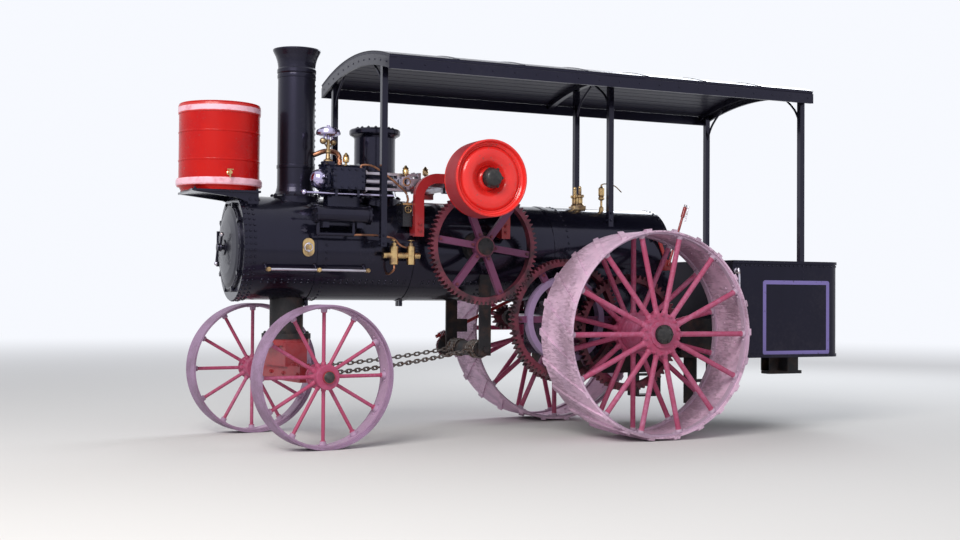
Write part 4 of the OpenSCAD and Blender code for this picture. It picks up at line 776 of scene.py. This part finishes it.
# Front wheels: a flat rolled rim, twelve thin round spokes riveted over, and a long cast hub that a
# cap and pin keep on the axle.
FRONT_X, FRONT_R, FRONT_Y, FRONT_W, FRONT_HUB_R, FRONT_SPOKES = 2730, 530, 800, 196, 86, 12
STEER_TURN = math.radians(7)


def steered(points):
    """Points of the straight front axle turned by STEER_TURN about the pin's upright line."""
    c, s = math.cos(STEER_TURN), math.sin(STEER_TURN)
    pin = at(FRONT_X, 0, 0)
    x, y, z = np.moveaxis(np.asarray(points, float) - pin, -1, 0)
    return np.stack([x * c - y * s, x * s + y * c, z], -1) + pin


def steered_shape(shapes):
    """Shapes of the straight front axle as one, turned as steered() does."""
    points, faces = joined(shapes)
    return steered(points), faces


worn_rim = Finish("worn_rim", Specular_IOR_Level=0.35)
clouds, scores = worn_rim.noise(6, 6), worn_rim.noise(60, 4)
rubbed_rim = (clouds * 0.7 + scores * 0.3).step(0.38, 0.66)
worn_rim.wear(Base_Color=rubbed_rim.mix((0.35, 0.225, 0.36), (0.23, 0.145, 0.22)),
              Roughness=0.5 + scores * 0.3, bump=(scores + clouds, 0.4, 0.003))
dress(worn_rim, "front_rim_left", "front_rim_right")
for side, word in SIDES:
    body, axle = "front_wheel_" + word, (FRONT_X, FRONT_R, side)
    middle = FRONT_Y - FRONT_W / 2
    hub = steered(at(FRONT_X, side * middle, FRONT_R))
    front_paint = chalky("front_red_" + word, rose, rose_dust, (0.43, 0.285, 0.42),
                         lambda f: f.reach(*hub) - 0.472)
    dress(front_paint, body)
    shapes = spoke_row(around(FRONT_SPOKES), middle, axle, FRONT_R - 26.4, FRONT_R - 26.3, 0.085,
                       (10, 8), FRONT_HUB_R, [(0, -3), (20, -3), (17.5, 20), (14.5, 24), (0, 24)])
    for y in (FRONT_Y - FRONT_W - 10, FRONT_Y - 24):
        shapes.append(turned([(85.5, -11), (92, -9), (94, 0), (92, 9), (85.5, 11)],
                             at(FRONT_X, side * y, FRONT_R), side * Y, 56))
    piece("front_spoke_feet_" + word, steered_shape(shapes), front_paint, body)
    piece("front_axle_cap_" + word, steered_shape([
        turned([(0, 14), (20, 12), (36, 4), (42, 0), (42, -3), (0, -3)],
               at(FRONT_X, side * (FRONT_Y + 7), FRONT_R), side * Y, 40),
        nuts(10, 9, at(pair(FRONT_X, 30), side * (FRONT_Y + 6), FRONT_R), side * Y)]),
        hub_black, "front_axle")

# Front axle and steering: a forged beam under a turntable, drawn round by two open-link chains
# wound on a cast roller, which a worm and worm wheel turn from the driver's wheel.
dress(red_paint, "front_axle", "steering_wheel")
dress(dark_iron, "front_pedestal", "steering_roller", "steering_bracket")
ROLLER_X, ROLLER_Z, EYE_Y, LINKS = 1180, 700, 399, 37
piece("turntable_bolts", nuts(14, 13, ring_of(FRONT_X, 0, 830, 164, 8, "z", 0.39)[0], Z), dark_iron)
piece("axle_bolts", steered_shape([
    nuts(13, 12, ring_of(FRONT_X, 0, 739.7, 160, 8, "z")[0], -Z),
    nuts(14, 13, at(np.tile(pair(FRONT_X, 46), 4), np.repeat((-240, -330, 240, 330), 2),
                    FRONT_R + 60), Z),
    nuts(15, 14, at(FRONT_X + 70, (-390, -120, 120, 390), FRONT_R), X)]), red_paint, "front_axle")
chain_iron = Finish("chain_iron", "dark_iron", Metallic=0.6)
scale = chain_iron.noise(30, 5)
chain_iron.wear(Base_Color=scale.step(0.4, 0.7).mix((0.17, 0.155, 0.15), (0.09, 0.045, 0.03)),
                Roughness=0.45 + scale * 0.3, bump=(scale, 0.25, 0.001))
# One link: a bar bent round an oval, straight sides and half-round ends
a = around(20)
oval = np.stack([0.013 * np.cos(a), 0 * a,
                 0.013 * np.sin(a) + 0.012 * np.clip(4 * np.sin(a), -1, 1)], -1)
link = tube(oval, 6.2, 8, closed=True)
cross_link = (link[0][:, [1, 0, 2]], link[1][:, ::-1])
for side, word in SIDES:
    start = steered(at(FRONT_X - 92, side * EYE_Y, FRONT_R + 2))
    end = np.array(at(ROLLER_X + 75, side * 201, ROLLER_Z - 10))
    share = (np.arange(LINKS) / (LINKS - 1))[:, None]
    spots = start + (end - start) * share - Z * (share * (1 - share)) * 0.10
    way = np.gradient(spots, axis=0)
    chain = piece("steering_chain_" + word, [many(link, spots[::2], way[::2]),
                                             many(cross_link, spots[1::2], way[1::2])],
                  chain_iron, None, smooth=60)
    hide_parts("steering_chains")
    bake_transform(chain)
eye = tube(at(FRONT_X - 84 + 16 * np.cos(a), EYE_Y, FRONT_R + 16 * np.sin(a)), 6, 8, True)
other_eye = (eye[0] * (1, -1, 1), eye[1][:, ::-1])
piece("chain_eyes", steered_shape([
    eye, other_eye, nuts(12, 12, at(FRONT_X - 70, (-420, -378, 378, 420), FRONT_R), -X)]),
    red_paint, "front_axle", smooth=50)
turns = np.linspace(0, 2 * np.pi * 4.5, 260)
piece("roller_chain", [
    tube(at(ROLLER_X + 68 * np.cos(turns), side * (120 + turns * 5.6), ROLLER_Z + 68 * np.sin(turns)),
         7.5 + 2.2 * np.sin(turns * 14), 8) for side, _ in SIDES],
    chain_iron, "steering_roller", smooth=60)
# Worm thread and the worm wheel's teeth
WORM_X, WORM_Z, WORM_R, COLUMN_Y, SLOPE = 1226.4, 804.1, 23, -436, math.radians(24)
COLUMN_LENGTH, KNOB_R = 2.210, 0.19
along = np.linspace(-29, 29, 160)
twist = along / 58 * 2 * np.pi * 4
worm_x = WORM_X + along * math.cos(SLOPE) + WORM_R * np.cos(twist) * math.sin(SLOPE)
worm_z = WORM_Z - along * math.sin(SLOPE) + WORM_R * np.cos(twist) * math.cos(SLOPE)
piece("worm_thread", tube(at(worm_x, COLUMN_Y + WORM_R * np.sin(twist), worm_z), 3.2, 6),
      bright_steel, "steering_wheel", smooth=60)
tooth = turned([(0, -2), (5.2, -2), (3.8, 6.5), (0, 7.5)], sides=4, start=np.pi / 4)
piece("worm_wheel_teeth", many(tooth, *wheel_round(
    90, np.repeat(around(44), 3), np.tile((-14, 0, 14), 44) + COLUMN_Y, ROLLER_X, ROLLER_Z, 1)),
    gear_iron, "steering_roller")
# Hub and crank knob of the driver's wheel
back = np.array([-math.cos(SLOPE), 0, math.sin(SLOPE)])
rise = np.array([math.sin(SLOPE), 0, math.cos(SLOPE)])
wheel_at = at(WORM_X, COLUMN_Y, WORM_Z) + back * COLUMN_LENGTH
piece("steering_knob", turned(
    [(0, 14), (9, 14), (9, 40), (16, 50), (20, 75), (18, 100), (10, 112), (0, 114)],
    wheel_at + rise * KNOB_R, back, 24), hub_black, "steering_wheel", smooth=60)
piece("steering_hub", [
    turned([(0, 18), (30, 18), (26, 30), (16, 36), (0, 36)], wheel_at, back, 32),
    nuts(14, 13, wheel_at + back * 0.036, back)], red_paint, "steering_wheel")

# Tender and footplate: riveted plate with rounded rear corners and a beaded edge, black, lined on each
# side with one broad square of pale paint, darkened and blued to a lavender as painted shade and sky
# light; the footplate is chequered plate.
tender_black = enamel("tender_black", (0.005, 0.005, 0.009), GREY_DUST, 0.40, 0.35, 0.04)
dress(tender_black, "tender")
dress(black_enamel, "feed_heater")
dress(dark_iron, "footplate", "drawbar")
TENDER_FRONT, TENDER_REAR, TENDER_Y, TENDER_Z, TENDER_TOP = -940, -2100, 750, 620, 1450
CORNER_R, LINE_W, LINE_CORNER_R, PAINT_LIFT = 130, 34, 22, 1.0009
# The lining is a pale line given its colour in sky-lit shade: painted shade
lining = Finish("lavender_lining_painted_shade", Coat_Weight=0.2)
rubbed_line = lining.noise(24, 5)
gaps = rubbed_line.step(0.62, 0.70)
lining.wear(Base_Color=gaps.mix((0.20, 0.155, 0.44), (0.05, 0.042, 0.08)),
            Roughness=0.38 + gaps * 0.3, bump=(rubbed_line, 0.1, 0.0006))


def lining_square(x0, x1, z0, z1, y):
    """A flat painted band along a square with rounded corners: two outlines, side by side."""
    a = around(48, 1e-4)
    rows = []
    for inset, lift in ((0, 1.0), (0, PAINT_LIFT), (LINE_W, PAINT_LIFT), (LINE_W, 1.0)):
        r = max(LINE_CORNER_R - inset, 3)
        x = np.where(np.cos(a) > 0, x1 - inset - r, x0 + inset + r) + r * np.cos(a)
        z = np.where(np.sin(a) > 0, z1 - inset - r, z0 + inset + r) + r * np.sin(a)
        rows.append(at(x, y * lift, z))
    return np.concatenate(rows), grid_faces(4, 48, True, True)


piece("tender_lining", [lining_square(-1962, -1252, 643, 1283, s * TENDER_Y) for s in (1, -1)],
      lining)
SEAM_HEIGHTS = TENDER_Z + 11, TENDER_TOP - 40
side_x = np.arange(TENDER_REAR + 150, TENDER_FRONT, RIVET_STEP)
side_z = np.arange(TENDER_Z + 60, TENDER_TOP - 50, RIVET_STEP)
rear_y = np.arange(-598, 600, RIVET_STEP)
quarter = np.radians(np.arange(8, 88, 20))
rows = []
for s in (1, -1):
    rows += [(at(side_x, s * TENDER_Y, z), s * Y) for z in SEAM_HEIGHTS]
    rows.append((at(TENDER_FRONT - 22, s * TENDER_Y, side_z), s * Y))
rows += [(at(TENDER_REAR, rear_y, z), -X) for z in SEAM_HEIGHTS]
rows += [(at(TENDER_REAR, y, side_z), -X) for y in (-610, 610)]
for s in (1, -1):
    out = np.stack([-np.sin(quarter), s * np.cos(quarter), 0 * quarter], -1)
    rows += [(at(TENDER_REAR + CORNER_R + CORNER_R * out[:, 0],
                 s * (TENDER_Y - CORNER_R) + CORNER_R * out[:, 1], z), out) for z in SEAM_HEIGHTS]
piece("tender_rivets", [heads(9, 6, *row) for row in rows], black_enamel)
# Grab rails at the front corners and the filler's lid on the tank
RAIL_X, RAIL_FEET_Z, LID_X, LID_Y = -975, (760, 1360), -1880, 330
shapes = []
for s in (1, -1):
    rail = bend(at(RAIL_X, s * np.array([751, 790, 790, 751]), (760, 790, 1330, 1360)), 10)
    shapes.append(tube(rail, 11, 12))
    for z in RAIL_FEET_Z:
        shapes.append(turned([(0, -2), (26, -2), (24, 6), (12, 10), (0, 10)],
                             at(RAIL_X, s * TENDER_Y, z), s * Y, 20))
piece("grab_rails", shapes, bright_steel, smooth=50)
piece("filler_lid", [
    turned([(0, -2), (130, -2), (130, 30), (145, 34), (145, 50), (120, 62), (40, 70), (0, 71)],
           at(LID_X, LID_Y, 1180), Z, 56),
    tube(bend(at(LID_X, (280, 284, 330, 376, 380), (1246, 1290, 1302, 1290, 1246))), 8, 10)],
    black_enamel)
# Chequered footplate: small raised ovals, every other one turned across
plate_x, plate_y = np.meshgrid(np.arange(-918, -566, 26), np.arange(-500, 501, 26))
odd = np.round((plate_x + 918) / 26 + (plate_y + 500) / 26) % 2 > 0.5
stud = turned([(0, -1), (11, -1), (8, 2.2), (0, 3)], sides=8)
piece("footplate_studs", [many((stud[0] * shape, stud[1]), at(plate_x[pick], plate_y[pick], 650), Z)
    for shape, pick in (((0.38, 1.0, 1.0), ~odd), ((1.0, 0.38, 1.0), odd))], dark_iron, smooth=50)
piece("drawbar_wear_ring", turned([(22.5, 0), (40, 0), (38, 5), (22.5, 5)],
                                  at(TENDER_REAR - 60, 0, 460), Z, 40), bright_steel)

# Canopy: thin sheet over lengthwise boards on three bent ribs, with boards round the edge, all
# painted black; six square posts bolted to the boiler, the firebox and the tender.
canopy_black = enamel("canopy_black", (0.005, 0.005, 0.011), (0.055, 0.050, 0.060), 0.30, 0.3, 0.2)
under_boards = enamel("under_boards", (0.011, 0.011, 0.020), (0.05, 0.046, 0.055), 0.4, 0.5, 0.1)
dress(black_enamel, "canopy_posts", "barrel_stand")
dress(canopy_black, "canopy_boards", "canopy_ribs")
CANOPY_FRONT, CANOPY_REAR, CANOPY_W, CANOPY_Z, CANOPY_RISE = 2200, -1720, 830, 2930, 120
ROOF_R = (CANOPY_W ** 2 + CANOPY_RISE ** 2) / (2 * CANOPY_RISE)


def roof_height(y):
    """Height of the roof's top: part of a circle through both eaves and the crown."""
    return CANOPY_Z + CANOPY_RISE - ROOF_R + np.sqrt(ROOF_R ** 2 - y ** 2)


def roof_skin(xs, ys, top, under):
    """A closed skin over the grid of xs by ys, its top and underside at the given drops in mm."""
    x, y = np.meshgrid(xs, ys, indexing="ij")
    upper = at(x, y, roof_height(y) - top(x, y))
    lower = at(x, y, roof_height(y) - under(x, y))[:, ::-1]
    rows = np.concatenate([upper, lower], 1)
    count, wide = rows.shape[:2]
    faces = [*grid_faces(count, wide, close_columns=True),
             range(wide), range((count - 1) * wide, count * wide)[::-1]]
    return rows.reshape(-1, 3), faces


# Sheets of 560 mm with a rolled seam between them; boards of 92 mm with a groove between them
seams = np.linspace(CANOPY_REAR, CANOPY_FRONT, 8)[1:-1]
xs = np.unique(np.concatenate([np.linspace(CANOPY_REAR, CANOPY_FRONT, 15)]
                              + [seams + d for d in (-12, -6, -2, 2, 6, 12)]))
on_seam = lambda x: np.min(np.abs(x[..., None] - seams), -1) < 7
roof = piece("roof_sheet", roof_skin(
    xs, np.linspace(-CANOPY_W, CANOPY_W, 65), lambda x, y: np.where(on_seam(x), -5.0, 0.0),
    lambda x, y: 4.0), canopy_black, smooth=25)
edges = np.linspace(-CANOPY_W + 2, CANOPY_W - 2, 19)
ys = np.sort(np.concatenate([edges[:-1] + 1, edges[:-1] + 4, edges[1:] - 4, edges[1:] - 1]))
in_groove = lambda y: np.min(np.abs(y[..., None] - edges), -1) < 2
under = piece("roof_boards", roof_skin(
    np.linspace(CANOPY_REAR + 3, CANOPY_FRONT - 3, 9), ys, lambda x, y: 6.0,
    lambda x, y: np.where(in_groove(y), 17.0, 25.8)), under_boards, smooth=20)
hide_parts("canopy_roof")
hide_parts("canopy_roof")
nail_x, nail_y = np.meshgrid(seams + 22, np.arange(-790, 800, 79))
nail_out = np.stack([0 * nail_y, nail_y / ROOF_R, 1 + 0 * nail_y], -1)
piece("roof_nails", heads(6, 3, at(nail_x, nail_y, roof_height(nail_y)), nail_out, 6),
      canopy_black, smooth=50)
# Bolts through posts, arms and boards, and curved braces under the eaves at the posts' heads
POST_HALF = 23
shapes = []
for x, y, foot_z in ((2154, 600, 1524), (0, 300, 1780), (-1674, 718.7, 1300)):
    for s in (1, -1):
        for z in (foot_z, foot_z + 60):
            shapes.append(nuts(11, 10, at(x + POST_HALF, s * y, z), X))
            shapes.append(nuts(11, 10, at(x, s * (y + POST_HALF), z), s * Y))
        brace_y = np.array([y + 2, y - 90, y - 260])
        brace_z = roof_height(np.array([y, y - 90, y - 260])) - (330, 190, 84)
        shapes.append(tube(bend(at(x, s * brace_y, brace_z), 6), 10, 8))
edge_x = np.arange(CANOPY_REAR + 60, CANOPY_FRONT, 188)
shapes += [heads(8, 5, at(edge_x, s * CANOPY_W, 2866), s * Y) for s in (1, -1)]
end_y = np.arange(-760, 770, 127)
shapes.append(heads(8, 5, at(CANOPY_FRONT, end_y, roof_height(end_y) - 66), X))
piece("canopy_bolts", shapes, canopy_black)

# Water barrel: a sheet-iron drum on the smokebox stand, signal red, its rolled hoops painted pale pink as
# a painted highlight, with a riveted seam at the back, a recessed lid and a brass draw-off cock.
dress(signal_red, "water_barrel")
BARREL_X, BARREL_Z, BARREL_R, BARREL_H = 3270, 1914.3, 305, 656
BARREL_TOP = BARREL_Z + BARREL_H
# Each hoop is painted pale between two heights in mm above the barrel's foot, a painted highlight, and red
# beside them
hoop_painted_highlight = Finish("hoop_painted_highlight", Coat_Weight=0.2)
faint = hoop_painted_highlight.noise(12, 6)
above = (hoop_painted_highlight.z - BARREL_Z / 1000) * 1000 + (hoop_painted_highlight.noise(30, 3) - 0.5) * 7
lower, upper = (above.step(low - 3, low + 3) - above.step(high - 3, high + 3)
                for low, high in ((36, 88), (BARREL_H - 64, BARREL_H - 24)))
# The pale pink is the hoops' painted highlight
pink = faint.step(0.46, 0.80).mix((0.86, 0.50, 0.60), (0.60, 0.20, 0.26))
hoop_painted_highlight.wear(Base_Color=(lower + upper).mix((0.54, 0.014, 0.010), pink),
                Roughness=0.30 + faint * 0.25, bump=(faint, 0.15, 0.002))
dress(hoop_painted_highlight, "barrel_hoops")
seam_z = np.arange(BARREL_Z + 110, BARREL_TOP - 90, 34)
shapes = [heads(6, 4, at(BARREL_X + 1 - BARREL_R, y, seam_z), -X) for y in (-14, 14)]
for z in (226, 440):
    shapes.append(turned([(304.6, -9), (307.5, -6), (308.8, 0), (307.5, 6), (304.6, 9)],
                         at(BARREL_X, 0, BARREL_Z + z), Z, 96))
shapes.append(turned(bead(298, 0, 7.5, 5.5, 11), at(BARREL_X, 0, BARREL_TOP), Z, 96))
shapes.append(nuts(10, 9, ring_of(BARREL_X + 90, 0, BARREL_TOP + 10, 46, 6, "z")[0], Z))
piece("barrel_seams", shapes, signal_red, smooth=50)
COCK_Y = 359
piece("barrel_cock", [
    turned([(0, 0), (16, 0), (16, 8), (9, 12), (9, 40), (14, 44), (14, 66), (0, 68)],
           at(BARREL_X, 304, BARREL_Z + 120), Y, 24),
    turned([(0, 0), (8, 0), (6.5, -36), (0, -36)], at(BARREL_X, COCK_Y, BARREL_Z + 118), Z, 20),
    tube(at(pair(BARREL_X, 24), COCK_Y, BARREL_Z + 142), 5, 8),
    rod(5, 20, at(BARREL_X, COCK_Y, BARREL_Z + 124), Z, 12)], brass, smooth=50)
stand_x, stand_y = np.meshgrid(pair(BARREL_X, 235), pair(0, 236))
piece("stand_bolts", [nuts(12, 11, at(stand_x, stand_y, BARREL_Z), Z)] + [
    nuts(12, 11, at((3040, 3086), s * 232, 1852), s * Y) for s in (1, -1)], black_enamel)

# Boiler fittings: a brass feed pump, a pressure gauge with a plain enamel dial, a water gauge with
# its glass, a lubricator, a drain rod, hand rails on turned knobs, and the reversing lever.
dress(bright_steel, "handrails")
dress(red_paint, "reversing_gear")
# The pump, the gauges and the hand hole's plates are brass, the cylinder's boss and the drain rod polished
# steel coloured lavender as a painted sky reflection, and the lubricator a black box
fitted = Finish("fittings_metal")
tarnish = fitted.noise(14, 6)
box = ((fitted.x > REAR_AXLE_X + 1.850) * (fitted.x < REAR_AXLE_X + 1.936)
       * (fitted.z > 1.664) * (fitted.z < 1.836))
# The boss and drain rod take the lavender steel colour: a painted sky reflection
steel = (fitted.z > 1.875) * (fitted.x > REAR_AXLE_X + 1.98)
metals = steel.mix(tarnish.step(0.38, 0.68).mix(*BRASS_TONES), PAINTED_SKY_ON_STEEL)
fitted.wear(Base_Color=box.mix(metals, (0.008, 0.008, 0.013)), Metallic=1.0 - box,
            Roughness=0.24 + tarnish.step(0.4, 0.8) * 0.3 - steel * 0.12,
            bump=(fitted.noise(120, 2), 0.12, 0.001))
dress(fitted, "fittings")
dial_white = Finish("dial_enamel", Coat_Weight=0.5)
aging = dial_white.noise(40, 4)
dial_white.wear(Base_Color=aging.step(0.4, 0.8).mix((0.80, 0.77, 0.70), (0.62, 0.55, 0.44)),
                Roughness=0.25 + aging * 0.1)
GAUGE_X, GAUGE_Z, TICK_R = FIREBOX_REAR - 60, 1700, 45
piece("gauge_dial", turned([(0, 3.5), (58, 3), (60, -1), (0, -1)], at(GAUGE_X, 0, GAUGE_Z), -X, 56),
      dial_white)
bar_faces = [[0, 3, 2, 1], [4, 5, 6, 7], [0, 1, 5, 4], [1, 2, 6, 5], [2, 3, 7, 6], [3, 0, 4, 7]]
marks = []
for i, angle in enumerate(np.radians(np.arange(-135, 136, 15))):
    length = 6 if i % 3 else 9
    across = np.array([-0.9, 0.9, 0.9, -0.9] * 2)
    away = np.array([-length, -length, length, length] * 2) + TICK_R
    c, s = math.cos(angle), math.sin(angle)
    marks.append((at(GAUGE_X - 3.6 - np.repeat((0, 0.6), 4), across * c - away * s,
                     GAUGE_Z + across * s + away * c), bar_faces))
marks.append(tube(at(GAUGE_X - 6, (10, -30), (GAUGE_Z - 12, GAUGE_Z + 34)), (2.2, 0.8), 6))
piece("gauge_marks", marks, hub_black)
piece("gauge_rim", [
    turned([(58, 0), (72, 0), (74, 6), (69, 11), (61, 9), (58, 4)], at(GAUGE_X, 0, GAUGE_Z), -X, 64),
    tube(bend(at((-600, -590, -570, -552), 0, (1634, 1600, 1560, 1556))), 7, 10)], brass, smooth=50)
# Hand wheels on the pump's and the gauge's valves: a rim, a hub and four spokes each
a = around(28)
parts = [tube(np.stack([0.026 * np.cos(a), 0.026 * np.sin(a), 0 * a + 0.008], -1), 3.5, 8, True),
         turned([(0, -12), (4, -12), (4, 4), (8, 6), (8, 13), (0, 14)], sides=14)]
for angle in around(4):
    c, s = math.cos(angle), math.sin(angle)
    parts.append(tube([(r * c, r * s, 0.008) for r in (0.006, 0.025)], 2.4, 6))
points, faces = joined(parts)
piece("valve_wheels", [many((points, np.array(faces)), at(*place), way) for *place, way in (
    (1880, 484, 1548, Z), (2020, 484, 1548, Z), (-600, -170, 1660, -X), (-600, -170, 1460, -X),
    (1893, 446, 1800, Y), (-604, 170, 1610, -X))], brass, smooth=50)
glass = Finish("gauge_glass", Roughness=0.05, IOR=1.45, Transmission_Weight=0.9)
glass.wear(Base_Color=glass.noise(30, 2).mix((0.85, 0.92, 0.90), (0.70, 0.80, 0.80)))
piece("water_glass", turned([(14.5, 0), (14.5, 168), (12.2, 168), (12.2, 0)], at(-580, -170, 1476),
                            Z, 32), glass)
knob = turned([(0, -2), (16, -2), (10, 6), (8, 16), (15, 22), (19, 32), (15, 42), (0, 46)], sides=24)
piece("rail_knobs", [many(knob, at((2990, 2600, 2210), s * BOILER_R, 1320), s * Y)
                     for s in (1, -1)], brass)
COVER_X, COVER_Y, COVER_Z = 2680, 412, 1490
shapes = []
for s in (1, -1):
    shapes.append(nuts(11, 12, at(COVER_X, s * COVER_Y, pair(COVER_Z, 28)), s * Y))
    shapes.append(turned([(28, 0), (34, 2), (34, 6), (28, 8)], at(COVER_X, s * COVER_Y, COVER_Z),
                         s * Y, 32))
piece("cover_nuts", shapes, bright_steel, smooth=35)
LEVER_Y, QUADRANT_R = 436, 331
piece("lever_grip", [
    tube(bend(at((-655, -672, -690), LEVER_Y + 20, (1780, 1850, 1912)), 6), 6, 8),
    turned([(0, 0), (12, 4), (15, 14), (12, 24), (0, 28)], at(-668, LEVER_Y, 1904), (-0.3, 0, 1),
           20)], bright_steel, smooth=50)
a = np.radians(np.arange(62, 119, 5.5))
notch = turned([(0, -2), (9, -2), (6, 10), (0, 11)], sides=4, start=np.pi / 4)
piece("quadrant_teeth", many(
    notch, at(-510 + QUADRANT_R * np.cos(a), 412.3, 1360 + QUADRANT_R * np.sin(a)),
    np.stack([np.cos(a), 0 * a, np.sin(a)], -1)), bright_steel)
piece("heater_bolts", [nuts(10, 9, ring_of(x, 488, 1740, 62, 8)[0], way)
                       for x, way in ((2224, -X), (2656, X))], black_enamel)
